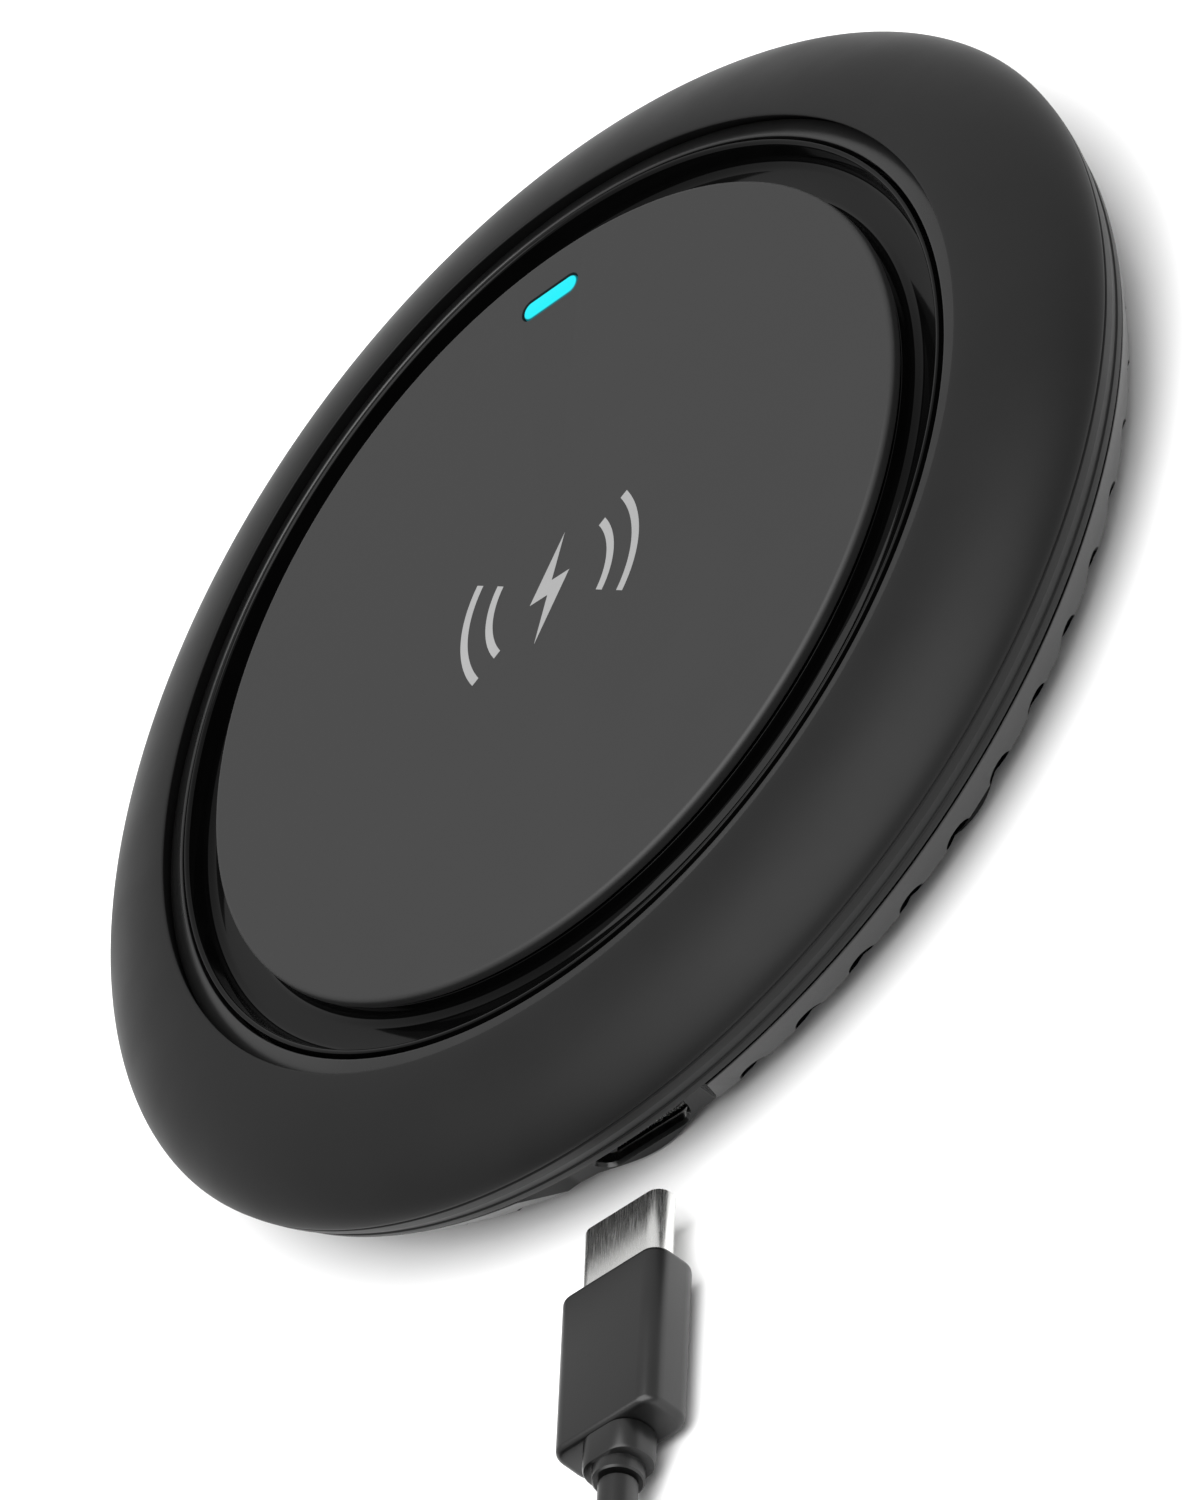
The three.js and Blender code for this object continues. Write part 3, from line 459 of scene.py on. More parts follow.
def grid_object(
    name: str, points: Array, wrap_rows: bool = False, caps: bool = False, sharp_degrees: float = 35
) -> bpy.types.Object:
    """A mesh object from a grid of points whose columns close on themselves.

    A quad joins each point to the next one along its row and along its column. Doubles, as at a pole, are merged.

    Args:
        name: the object's name.
        points: rows by columns by three, in millimetres.
        wrap_rows: whether the last row joins the first.
        caps: whether the first and last rows are closed by a flat face.
        sharp_degrees: edges that turn more than this are drawn sharp.

    Returns:
        The object, in metres.
    """
    rows, columns = points.shape[:2]
    index = np.arange(rows * columns).reshape(rows, columns)
    turned = np.roll(index, -1, axis=1)
    below = np.roll(index, -1, axis=0)
    below_turned = np.roll(turned, -1, axis=0)
    quads = np.stack([index, turned, below_turned, below], axis=-1)
    quads = (quads if wrap_rows else quads[:-1]).reshape(-1, 4)
    corners = quads.ravel()
    totals = np.full(len(quads), 4)
    if caps:
        corners = np.concatenate([corners, index[0][::-1], index[-1]])
        totals = np.concatenate([totals, [columns, columns]])
    return mesh_object(name, points.reshape(-1, 3), corners, totals, sharp_degrees)


def mesh_object(
    name: str, points: Array, corners: Array, totals: Array, sharp_degrees: float = 35
) -> bpy.types.Object:
    """A closed mesh object from plain arrays, with its doubles merged and its faces turned outwards.

    Args:
        name: the object's name.
        points: one row of three millimetres for each vertex.
        corners: the vertex of each face corner, face after face.
        totals: the number of corners of each face.
        sharp_degrees: edges that turn more than this are drawn sharp.

    Returns:
        The object, in metres.
    """
    mesh = bpy.data.meshes.new(name)
    mesh.vertices.add(len(points))
    mesh.vertices.foreach_set("co", (points * MM).astype(np.float32).ravel())
    mesh.loops.add(len(corners))
    mesh.loops.foreach_set("vertex_index", corners.astype(np.int32))
    mesh.polygons.add(len(totals))
    starts = np.concatenate([[0], np.cumsum(totals)[:-1]]).astype(np.int32)
    mesh.polygons.foreach_set("loop_start", starts)
    mesh.update(calc_edges=True)
    made = bpy.data.objects.new(name, mesh)
    bpy.context.scene.collection.objects.link(made)
    tidy_mesh(mesh, sharp_degrees)
    return made


def tidy_mesh(mesh: bpy.types.Mesh, sharp_degrees: float) -> None:
    """Merges doubles, turns faces outwards and smooths all but the sharp edges.

    Args:
        mesh: the mesh.
        sharp_degrees: edges that turn more than this are drawn sharp.
    """
    work = bmesh.new()
    work.from_mesh(mesh)
    bmesh.ops.remove_doubles(work, verts=work.verts, dist=1e-7)
    bmesh.ops.dissolve_degenerate(work, edges=work.edges, dist=1e-8)
    bmesh.ops.recalc_face_normals(work, faces=work.faces)
    work.to_mesh(mesh)
    work.free()
    mesh.polygons.foreach_set("use_smooth", np.ones(len(mesh.polygons), bool))
    mesh.set_sharp_from_angle(angle=math.radians(sharp_degrees))
    mesh.update()


def turned(name: str, profile: Array, segments: int = 312, closed: bool = False) -> bpy.types.Object:
    """A profile of radius and height, turned about the Z axis.

    A point at radius r goes to (r cos a, r sin a, height) for every angle a.

    Args:
        name: the object's name.
        profile: rows of radius and height.
        segments: steps round the axis.
        closed: whether the profile closes on itself instead of ending on the axis.

    Returns:
        The object.
    """
    angles = np.linspace(0, 2 * np.pi, segments, endpoint=False)
    radius = profile[:, :1]
    height = np.broadcast_to(profile[:, 1:], (len(profile), segments))
    grid = np.stack([radius * np.cos(angles), radius * np.sin(angles), height], axis=-1)
    return grid_object(name, grid, wrap_rows=closed)


def lofted(
    name: str, stations: Sequence[tuple[float, float]], width: float, height: float, radius: float
) -> bpy.types.Object:
    """A rounded bar along Y, drawn in at chosen stations.

    The section at a station is the rounded rectangle, its sides moved in by the station's inset.

    Args:
        name: the object's name.
        stations: y and inset of each section.
        width: size along X.
        height: size along Z.
        radius: the section's corner radius.

    Returns:
        The object, centred on the Y axis.
    """
    sections = []
    for y, inset in stations:
        flat = outline(width - 2 * inset, height - 2 * inset, max(radius - inset, 0.05))
        sections.append(np.column_stack([flat[:, 0], np.full(len(flat), y), flat[:, 1]]))
    return grid_object(name, np.array(sections), caps=True)


def eased(y_start: float, y_end: float, radius: float, steps: int = 5) -> list[tuple[float, float]]:
    """Stations of a bar whose two ends are rounded.

    Each end is a quarter circle: at angle a the depth is the radius times 1 - cos a, the inset times 1 - sin a.

    Args:
        y_start: where the bar starts.
        y_end: where it ends.
        radius: of the rounding.
        steps: stations at each end.

    Returns:
        The y and the inset of each station.
    """
    angles = np.linspace(0, np.pi / 2, steps)
    toward = math.copysign(1, y_end - y_start)
    depth, inset = radius * (1 - np.cos(angles)), radius * (1 - np.sin(angles))
    front = [(y_start + toward * d, i) for d, i in zip(depth, inset)]
    back = [(y_end - toward * d, i) for d, i in zip(depth[::-1], inset[::-1])]
    return front + back


def hollowed(
    name: str, y_open: float, y_shut: float, size: tuple[float, float], radius: float, wall: float
) -> bpy.types.Object:
    """A thin rounded tube along Y with a rolled lip at its open end and a floor at the other.

    Its profile runs up the outside, over a half-round lip and back down the inside, and both ends are closed.

    Args:
        name: the object's name.
        y_open: the mouth.
        y_shut: the closed end.
        size: outside width and height.
        radius: the outside's corner radius.
        wall: the wall's thickness.

    Returns:
        The object, centred on the Y axis.
    """
    toward = math.copysign(1, y_open - y_shut)
    lip = wall / 2
    angles = np.linspace(0, np.pi, 9)
    over = [(y_open - toward * lip * (1 - math.sin(a)), lip * (1 - math.cos(a))) for a in angles]
    return lofted(name, [(y_shut, 0.0), *over, (y_shut + toward * wall, wall)], *size, radius)


def bar(name: str, flat: Array, low: float, high: float, axis: str = "Z") -> bpy.types.Object:
    """A flat closed outline carried straight along one axis.

    Args:
        name: the object's name.
        flat: the outline, in the other two axes.
        low: where it starts.
        high: where it ends.
        axis: "Y", with the outline in X and Z, or "Z", with it in X and Y.

    Returns:
        The object.
    """
    ends = []
    for level in (low, high):
        at = np.full(len(flat), level)
        columns = [flat[:, 0], at, flat[:, 1]] if axis == "Y" else [flat[:, 0], flat[:, 1], at]
        ends.append(np.column_stack(columns))
    return grid_object(name, np.array(ends), caps=True)


def place(piece: bpy.types.Object, matrix: Matrix) -> bpy.types.Object:
    """Moves a piece's mesh and leaves its object at the origin.

    Args:
        piece: a mesh object.
        matrix: where it goes, with its lengths in millimetres.

    Returns:
        The piece.
    """
    metres = matrix.copy()
    metres.translation *= MM
    piece.data.transform(metres)
    piece.data.update()
    return piece


def at(x: float, y: float, z: float, turn_degrees: float = 0.0) -> Matrix:
    """A place and a turn as one matrix.

    Args:
        x: millimetres along X.
        y: along Y.
        z: along Z.
        turn_degrees: the turn about Z, which comes first.

    Returns:
        The matrix.
    """
    return Matrix.Translation((x, y, z)) @ Matrix.Rotation(math.radians(turn_degrees), 4, "Z")


class Joinery(Enum):
    """What one solid does to another."""

    CUT = "DIFFERENCE"
    JOIN = "UNION"


def carve(
    piece: bpy.types.Object, tools: Sequence[bpy.types.Object], how: Joinery, sharp_degrees: float = 35
) -> None:
    """Cuts or joins solids to a piece, and removes them.

    Args:
        piece: the solid that stays.
        tools: the solids that cut it or join it.
        how: cut or join.
        sharp_degrees: edges that turn more than this are drawn sharp.
    """
    for tool in tools:
        modifier = piece.modifiers.new("joinery", "BOOLEAN")
        modifier.object = tool
        modifier.operation = how.value
        modifier.solver = "MANIFOLD"
    shown = piece.evaluated_get(bpy.context.evaluated_depsgraph_get())
    made = bpy.data.meshes.new_from_object(shown)
    piece.modifiers.clear()
    piece.data = made
    tidy_mesh(made, sharp_degrees)
    for tool in tools:
        bpy.data.objects.remove(tool)


def joined(name: str, pieces: Sequence[bpy.types.Object]) -> bpy.types.Object:
    """Several separate solids as one object.

    Args:
        name: the new object's name.
        pieces: objects at the origin.

    Returns:
        The object that holds all their faces.
    """
    work = bmesh.new()
    for piece in pieces:
        work.from_mesh(piece.data)
    mesh = bpy.data.meshes.new(name)
    work.to_mesh(mesh)
    work.free()
    for piece in pieces:
        bpy.data.objects.remove(piece)
    made = bpy.data.objects.new(name, mesh)
    bpy.context.scene.collection.objects.link(made)
    return made


def finished(piece: bpy.types.Object, finish: object, slot: str, body: str, *nodes: str) -> bpy.types.Object:
    """Paints a piece, lets it ride on its body and hides the nodes that it stands for.

    Args:
        piece: the piece.
        finish: its finish.
        slot: the record's material slot; not used.
        body: the body that it rides on.
        nodes: the nodes that it replaces.

    Returns:
        The piece.
    """
    WORKSHOP.paint(piece, finish)
    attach(piece, body)
    if nodes:
        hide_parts(*nodes)
    LOG.info("%s: %d faces", piece.name, len(piece.data.polygons))
    return piece


def corner_mm(node: str) -> tuple[Array, Array]:
    """The box of a node.

    Args:
        node: its name.

    Returns:
        The lowest and the highest corner, in millimetres.
    """
    low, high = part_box(node)
    return np.array(low) / MM, np.array(high) / MM


# ---------------------------------------------------------------- camera


@dataclass
class Viewpoint:
    """A long lens that looks down at the pad from beyond its port's right, rolled so that the far rim rises."""

    azimuth: float = 38.5
    elevation: float = 30.65
    roll: float = 54.5
    distance_mm: float = 2000.0
    frame_height_mm: float = 111.07
    sensor_mm: float = 36.0
    across_mm: float = 3.73
    below_mm: float = 11.99

    def build(self) -> None:
        """Makes the camera. Its right and up are the level ones turned about the line of sight by the roll."""
        azimuth, elevation, roll = (math.radians(a) for a in (self.azimuth, self.elevation, self.roll))
        back = Vector(
            (math.sin(azimuth) * math.cos(elevation), -math.cos(azimuth) * math.cos(elevation), math.sin(elevation))
        )
        level_right = Vector((math.cos(azimuth), math.sin(azimuth), 0))
        level_up = back.cross(level_right)
        right = level_right * math.cos(roll) - level_up * math.sin(roll)
        up = level_right * math.sin(roll) + level_up * math.cos(roll)
        plate_top = Vector((0, 0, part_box("charging_plate")[1].z))
        middle = plate_top + (right * self.across_mm - up * self.below_mm) * MM
        data = bpy.data.cameras.new("camera")
        data.sensor_width = self.sensor_mm
        data.lens = self.sensor_mm * self.distance_mm / self.frame_height_mm
        data.clip_end = 20.0
        camera = bpy.data.objects.new("camera", data)
        camera.matrix_world = Matrix.LocRotScale(
            middle + back * self.distance_mm * MM, Matrix((right, up, back)).transposed().to_quaternion(), None
        )
        bpy.context.scene.collection.objects.link(camera)
        bpy.context.scene.camera = camera


# ---------------------------------------------------------------- cable

# The cord's stretch from the plug to the coil: the same points as the solid model's, in metres, in the cable's frame.
CORD_ROUTE = [
    (0, -0.02595, 0.003),
    (0, -0.0272, 0.003),
    (0, -0.0286, 0.00297),
    (0, -0.03, 0.00289),
    (0, -0.0314, 0.00275),
    (0, -0.0328, 0.00257),
    (0, -0.0342, 0.00238),
    (0, -0.0356, 0.00221),
    (0, -0.037, 0.00211),
    (0, -0.0381, 0.00208),
]

# The cord's stretch from the coil to the far plug.
TAIL_ROUTE = [
    (-0.0319, -0.0692, 0.00795),
    (-0.034, -0.0692, 0.0076),
    (-0.036, -0.0692, 0.0071),
    (-0.038, -0.0692, 0.0065),
    (-0.04, -0.0692, 0.0059),
    (-0.042, -0.0692, 0.0053),
    (-0.044, -0.0692, 0.0048),
    (-0.046, -0.0692, 0.0044),
    (-0.048, -0.0692, 0.00415),
    (-0.05, -0.0692, 0.00405),
    (-0.0515, -0.0692, 0.00405),
]

# The slots of the coil's section that the cord fills one after another: column from the inside, and layer.
WINDING_ORDER = [(2, 0), (1, 0), (0, 0), (0, 1), (0, 2), (1, 2), (1, 1), (2, 1), (2, 2)]


@dataclass
class Cord:
    """The whole cord: from the USB-C plug, through its stored coil, to the USB-A plug."""

    diameter: float = 3.0
    pitch: float = 3.05
    mean_radius: float = 16.5
    lift: float = 0.55
    centre_y: float = -49.65
    shift_degrees: float = 22.0
    first_shift: float = 328.0
    last_turn: float = 0.25
    steps_per_turn: int = 60
    spacing: float = 1.6
    sides: int = 20

    def coil_path(self) -> Array:
        """The coil's centreline, in millimetres, in the cable's frame.

        The travel angle t runs clockwise from the outermost turn's first point. Slot k is held from the end of
        shift k - 1 to the start of shift k, and a shift blends smoothly from one slot to the next. Each shift
        comes a little earlier in its turn than the one before, so a slot is free when the cord moves into it.

        Returns:
            One row for each point.
        """
        turns = len(WINDING_ORDER) - 1
        whole = turns + self.last_turn
        travel = np.linspace(0, 360 * whole, int(self.steps_per_turn * whole) + 1)
        columns, layers = np.array(WINDING_ORDER, float).T
        starts = 360 * np.arange(turns) + self.first_shift - self.shift_degrees * np.arange(turns)
        share = np.clip((travel[:, None] - starts) / self.shift_degrees, 0, 1)
        smooth = (share**2 * (3 - 2 * share)).sum(axis=1)
        column = np.interp(smooth, np.arange(len(columns)), columns)
        layer = np.interp(smooth, np.arange(len(layers)), layers)
        radius = self.mean_radius + (column - 1) * self.pitch
        angle = -np.radians(travel)
        centre_x = -(self.mean_radius + self.pitch)
        return np.column_stack(
            [
                centre_x + radius * np.cos(angle),
                self.centre_y + radius * np.sin(angle),
                self.lift + (layer + 0.5) * self.pitch,
            ]
        )

    def path(self, tip_y: float) -> Array:
        """The whole centreline, in millimetres: the first route, the coil and the last route.

        Args:
            tip_y: where the cable's frame starts, under the tip of the USB-C plug.

        Returns:
            One row for each point.
        """
        start, end = np.array(CORD_ROUTE) / MM, np.array(TAIL_ROUTE) / MM
        whole = np.concatenate([start, self.coil_path(), end])
        return resampled(whole + [0, tip_y, 0], self.spacing)

    def build(self, tip_y: float, followers: Sequence[bpy.types.Object]) -> bpy.types.Object:
        """Args:
            tip_y: where the cable's frame starts.
            followers: the plugs and the tie; not used.

        Returns:
            The cord.
        """
        path = self.path(tip_y)
        cord = grid_object("cord", tube(path, self.diameter / 2, self.sides), caps=True, sharp_degrees=60)
        finished(cord, JACKET, "cord_jacket", "usb_cable", "cord_to_coil", "cord_coil", "cord_to_far_plug")
        return cord


def resampled(points: Array, spacing: float) -> Array:
    """A smooth curve through the points, at even spacing.

    Catmull-Rom pieces join the points, each from its neighbours' slope, and the result is measured off evenly.

    Args:
        points: one row for each point.
        spacing: the distance between the new points.

    Returns:
        The new points.
    """
    padded = np.concatenate([[2 * points[0] - points[1]], points, [2 * points[-1] - points[-2]]])
    t = np.linspace(0, 1, 6, endpoint=False)[None, :, None]
    a, b, c, d = (padded[i : len(padded) - 3 + i, None, :] for i in range(4))
    pieces = 0.5 * (2 * b + (c - a) * t + (2 * a - 5 * b + 4 * c - d) * t**2 + (3 * b - a - 3 * c + d) * t**3)
    fine = np.concatenate([pieces.reshape(-1, 3), points[-1:]])
    reach = np.concatenate([[0], np.cumsum(np.linalg.norm(np.diff(fine, axis=0), axis=1))])
    even = np.linspace(0, reach[-1], int(reach[-1] / spacing) + 1)
    return np.column_stack([np.interp(even, reach, fine[:, axis]) for axis in range(3)])


def tube(path: Array, radius: float, sides: int) -> Array:
    """The surface of a round tube along a path that is never upright.

    Each section lies across the path: a point at angle a is cos a sideways and sin a upwards, times the radius.

    Args:
        path: the centreline.
        radius: the tube's radius.
        sides: points round the tube.

    Returns:
        Rows by sides by three.
    """
    along = np.gradient(path, axis=0)
    along /= np.linalg.norm(along, axis=1)[:, None]
    side = np.cross(along, [0, 0, 1.0])
    side /= np.linalg.norm(side, axis=1)[:, None]
    up = np.cross(side, along)
    angles = np.linspace(0, 2 * np.pi, sides, endpoint=False)[None, :, None]
    return path[:, None] + radius * (np.cos(angles) * side[:, None] + np.sin(angles) * up[:, None])


@dataclass
class UsbCPlug:
    """The plug at the pad's end of the cable: shell, insert, overmould and strain relief."""

    width: float = 8.25
    height: float = 2.4
    shell_length: float = 6.65
    wall: float = 0.25
    body_width: float = 10.4
    body_height: float = 4.6
    body_length: float = 15.0
    body_radius: float = 1.5
    body_easing: float = 0.55
    neck_width: float = 5.6
    neck_height: float = 4.2
    neck_length: float = 2.8
    end_radius: float = 1.95
    end_length: float = 1.2
    axis_z: float = 3.0
    insert_depth: float = 1.7
    contact_count: int = 12
    contact_pitch: float = 0.5
    contact_rise: float = 0.72
    contact_length: float = 3.6
    contact_width: float = 0.24
    contact_height: float = 0.12

    def build(self, tip_y: float) -> list[bpy.types.Object]:
        """Makes the plug's pieces.

        Args:
            tip_y: the plug's tip.

        Returns:
            The pieces.
        """
        here = at(0, tip_y, self.axis_z)
        front = -self.shell_length
        back = front - self.body_length
        size = (self.width, self.height)
        shell = hollowed("usb_c_shell", 0, front + SEAM, size, self.height / 2 - 0.02, self.wall)
        stations = eased(front, back, self.body_easing)
        body = lofted("usb_c_overmould", stations, self.body_width, self.body_height, self.body_radius)
        relief = self.strain_relief(back - SEAM)
        contacts = self.contacts(front + self.insert_depth)
        pieces = [
            finished(place(shell, here), NICKEL, "connector_steel", "usb_cable", "usb_c_plug_shell"),
            finished(place(body, here), OVERMOULD, "overmould_plastic", "usb_cable", "usb_c_overmold"),
            finished(place(relief, here), OVERMOULD, "overmould_plastic", "usb_cable", "usb_c_strain_relief"),
            finished(place(contacts, here), GOLD, "connector_steel", "usb_cable"),
        ]
        return pieces

    def strain_relief(self, y_front: float) -> bpy.types.Object:
        """The flat collar behind the overmould, drawn in to a round neck.

        Args:
            y_front: its front end.

        Returns:
            The piece.
        """
        collar_back = y_front + SEAM - self.neck_length
        wide = outline(self.neck_width, self.neck_height, self.neck_height / 2 - 0.2)
        low = outline(2 * self.end_radius, 2 * self.end_radius, self.end_radius - 0.01)
        rows = [(y_front, 0.0, 1.0), (collar_back + 0.35, 0.0, 1.0), (collar_back + 0.1, 0.0, 0.96)]
        rows += [(collar_back, 0.15, 0.9), (collar_back - 0.02, 0.9, 0.97), (collar_back - 0.1, 1.0, 1.0)]
        rows += [(collar_back - self.end_length + 0.15, 1.0, 1.0), (collar_back - self.end_length, 1.0, 0.93)]
        sections = []
        for y, share, scale in rows:
            flat = ((1 - share) * wide + share * low) * scale
            sections.append(np.column_stack([flat[:, 0], np.full(len(flat), y), flat[:, 1]]))
        return grid_object("usb_c_strain_relief_boot", np.array(sections), caps=True)

    def contacts(self, y_back: float) -> bpy.types.Object:
        """Two rows of spring contacts that show inside the shell.

        Args:
            y_back: where they leave the insert.

        Returns:
            The contacts as one piece.
        """
        flat = outline(self.contact_width, self.contact_height, self.contact_height / 4, 2)
        y_tip = y_back + self.contact_length
        springs = []
        for index in range(self.contact_count):
            x = (index - (self.contact_count - 1) / 2) * self.contact_pitch
            for z in (-self.contact_rise, self.contact_rise):
                springs.append(bar("contact", flat + [x, z], y_back, y_tip, "Y"))
        return joined("usb_c_spring_contacts", springs)


@dataclass
class UsbAPlug:
    """The plug at the far end, which lies beyond the coil."""

    width: float = 15.4
    height: float = 8.0
    length: float = 20.0
    radius: float = 2.4
    easing: float = 0.8
    relief_length: float = 8.0
    relief_start: float = 1.9
    relief_radius: float = 2.6
    relief_sides: int = 40
    shell_width: float = 12.0
    shell_height: float = 4.5
    shell_length: float = 12.0
    shell_radius: float = 0.6
    wall: float = 0.4
    latch_width: float = 1.7
    latch_length: float = 2.2
    latch_across: float = 2.9
    latch_along: float = 6.2
    rib_count: int = 5
    rib_depth: float = 0.16

    def build(self, tip_y: float) -> list[bpy.types.Object]:
        """Makes the plug's pieces.

        Args:
            tip_y: where the cable's frame starts.

        Returns:
            The pieces.
        """
        x, y, z = np.array(TAIL_ROUTE[-1]) / MM
        here = at(x - GAP, y + tip_y, z, 90)
        start, end = self.relief_length, self.relief_length + self.length
        body = lofted("usb_a_overmould", eased(start, end, self.easing), self.width, self.height, self.radius)
        size = (self.shell_width, self.shell_height)
        shell = hollowed("usb_a_shell", end + self.shell_length, end + SEAM, size, self.shell_radius, self.wall)
        window = outline(self.latch_width, self.latch_length, 0.15)
        windows = [
            bar("window", window + [x, end + self.latch_along], -self.shell_height, self.shell_height)
            for x in (-self.latch_across, self.latch_across)
        ]
        carve(shell, windows, Joinery.CUT)
        pieces = [
            finished(place(body, here), OVERMOULD, "overmould_plastic", "usb_cable", "usb_a_overmold"),
            finished(place(shell, here), NICKEL, "connector_steel", "usb_cable", "usb_a_plug_shell"),
            finished(place(self.relief(), here), OVERMOULD, "overmould_plastic", "usb_cable", "usb_a_strain_relief"),
        ]
        return pieces

    def relief(self) -> bpy.types.Object:
        """The tapered sleeve at the cord's end, with shallow rings round it.

        Its radius grows evenly along Y, less a small ripple with one period for each rib.

        Returns:
            The piece.
        """
        y = np.linspace(0, self.relief_length - SEAM, 60)
        taper = self.relief_start + (self.relief_radius - self.relief_start) * y / self.relief_length
        ripple = self.rib_depth * (0.5 - 0.5 * np.cos(2 * np.pi * self.rib_count * y / self.relief_length))
        across = (taper - ripple)[:, None]
        along = np.broadcast_to(y[:, None], (len(y), self.relief_sides))
        angles = np.linspace(0, 2 * np.pi, self.relief_sides, endpoint=False)
        grid = np.stack([across * np.cos(angles), along, across * np.sin(angles)], axis=-1)
        return grid_object("usb_a_strain_relief_boot", grid, caps=True, sharp_degrees=50)


@dataclass
class Tie:
    """The silicone band round the coil's section."""

    width: float = 5.0
    thickness: float = 0.4
    angle: float = 340.0
    turns_across: int = 3
    clearance: float = 0.1
    sag_room: float = 0.6
    inner_radius: float = 1.1
    bevel: float = 0.12

    def build(self, tip_y: float, cord: Cord) -> bpy.types.Object:
        """Makes the band.

        Args:
            tip_y: where the cable's frame starts.
            cord: the cord, for the coil's place.

        Returns:
            The band.
        """
        across = self.turns_across * cord.pitch + 2 * self.clearance
        inner = (across + self.sag_room, across)
        outer = (inner[0] + 2 * self.thickness, inner[1] + 2 * self.thickness)
        inside = outline(*inner, self.inner_radius)
        outside = outline(*outer, self.inner_radius + self.thickness)
        half = self.width / 2
        rings = []
        for y, flat in ((-half, inside), (-half, outside), (half, outside), (half, inside)):
            rings.append(np.column_stack([flat[:, 0], np.full(len(flat), y), flat[:, 1]]))
        band = grid_object("coil_tie", np.array(rings), wrap_rows=True)
        bevel = band.modifiers.new("soft_edges", "BEVEL")
        bevel.width = self.bevel * MM
        bevel.segments = 2
        middle_z = cord.lift + self.turns_across / 2 * cord.pitch
        centre = at(-(cord.mean_radius + cord.pitch), cord.centre_y + tip_y, middle_z, self.angle)
        place(band, centre @ Matrix.Translation((cord.mean_radius, 0, 0)))
        return finished(band, TIE_RUBBER, "tie_silicone", "usb_cable", "cord_tie")


# ---------------------------------------------------------------- pad


@dataclass
class PadSizes:
    """The pad's own sizes, which its rings share."""

    radius: float = 51.3
    height: float = 14.4
    dome_radius: float = 41.2
    seam_radius: float = 39.2
    plate_radius: float = 35.2
    crest: float = 14.0
    crease: float = 8.6
    roundness: float = 1.6
    draft: float = 1.1
    skirt_bottom: float = 5.6
    skirt_inner: float = 48.6
    flange_top: float = 10.0
    flange_bottom: float = 8.8
    seat_inner: float = 33.4
    bore: float = 41.7
    wall: float = 1.6
    trim_outer: float = 41.4
    seam_top: float = 13.6
    step_top: float = 12.8
    moat_top: float = 11.5
    moat_bottom: float = 10.3
    seat_radius: float = 35.0
    seat_top: float = 13.1
    plate_bottom: float = 13.4
    spigot_bottom: float = 12.4
    cover_top: float = 5.3
    cover_side: float = 50.0
    cover_edge: float = 47.6
    screw_circle: float = 41.0
    corner_angles: tuple[int, ...] = (45, 135, 225, 315)


@dataclass
class Housing:
    """The soft-touch ring: a flattened round dome over a narrow banded rim."""

    sizes: PadSizes
    pillar_radius: float = 2.2
    pillar_bottom: float = 4.7

    def profile(self) -> Array:
        """The ring's section.

        The dome is a quarter superellipse from the rim's crease up to the crest. Below it come a fine groove and
        two flat bands.

        Returns:
            Rows of radius and height.
        """
        s = self.sizes
        arc = self.dome_arc(np.radians(np.linspace(90, 0, 48)), 0.0)
        under = self.dome_arc(np.radians(np.linspace(24, 90, 14)), s.wall)
        rim = filleted(
            [
                (s.skirt_inner, s.skirt_bottom, 0.0),
                (s.radius - s.draft, s.skirt_bottom, 0.14),
                (s.radius - s.draft + 0.28, s.skirt_bottom + 0.75, 0.06),
                (s.radius - s.draft + 0.16, s.skirt_bottom + 0.85, 0.05),
                (s.radius - 0.34, s.crease - 1.15, 0.1),
                (s.radius - 0.08, s.crease - 0.32, 0.08),
                (s.radius - 0.24, s.crease - 0.2, 0.05),
                (s.radius - 0.02, s.crease - 0.02, 0.0),
            ],
            False,
            3,
        )
        inside = filleted(
            [
                (s.dome_radius, s.crest, 0.0),
                (s.dome_radius - 0.22, s.crest - 0.02, 0.12),
                (s.bore, s.step_top - 0.2, 0.0),
                (s.bore, s.flange_top, 0.0),
                (s.seat_inner + 2.6, s.flange_top, 0.0),
                (s.seat_inner + 2.6, s.flange_bottom, 0.0),
                (s.bore + s.wall, s.flange_bottom, 0.0),
            ],
            False,
            4,
        )
        return np.concatenate([rim, arc[1:-1], inside, under])

    def dome_arc(self, angle: Array, inset: float) -> Array:
        """Points of the dome's quarter superellipse, drawn in by an inset.

        Its radius is the dome's inner radius plus the width times the sine's power, its height the crease plus
        the rise times the cosine's power. The power is two over the roundness.

        Args:
            angle: from the vertical, in radians.
            inset: the wall's thickness, or 0 for the outside.

        Returns:
            Rows of radius and height.
        """
        s = self.sizes
        power = 2 / s.roundness
        width, rise = s.radius - s.dome_radius - inset, s.crest - s.crease - inset
        out = np.abs(np.sin(angle)) ** power
        up = np.abs(np.cos(angle)) ** power
        return np.column_stack([s.dome_radius + width * out, s.crease + rise * up])

    def build(self) -> bpy.types.Object:
        """Makes the ring with its four screw pillars inside.

        Returns:
            The piece.
        """
        s = self.sizes
        shell = turned("soft_touch_housing", self.profile(), 416, closed=True)
        low, high = self.pillar_bottom, s.flange_top - 0.2
        pillar = filleted(
            [(0, low, 0), (self.pillar_radius, low, 0.2), (self.pillar_radius, high, 0), (0, high, 0)], False, 3
        )
        pillars = [
            place(turned("pillar", pillar, 32), at(*polar(s.screw_circle, angle), 0)) for angle in s.corner_angles
        ]
        carve(shell, pillars, Joinery.JOIN)
        return finished(shell, SOFT_TOUCH, "soft_touch_housing", "pad", "top_housing")


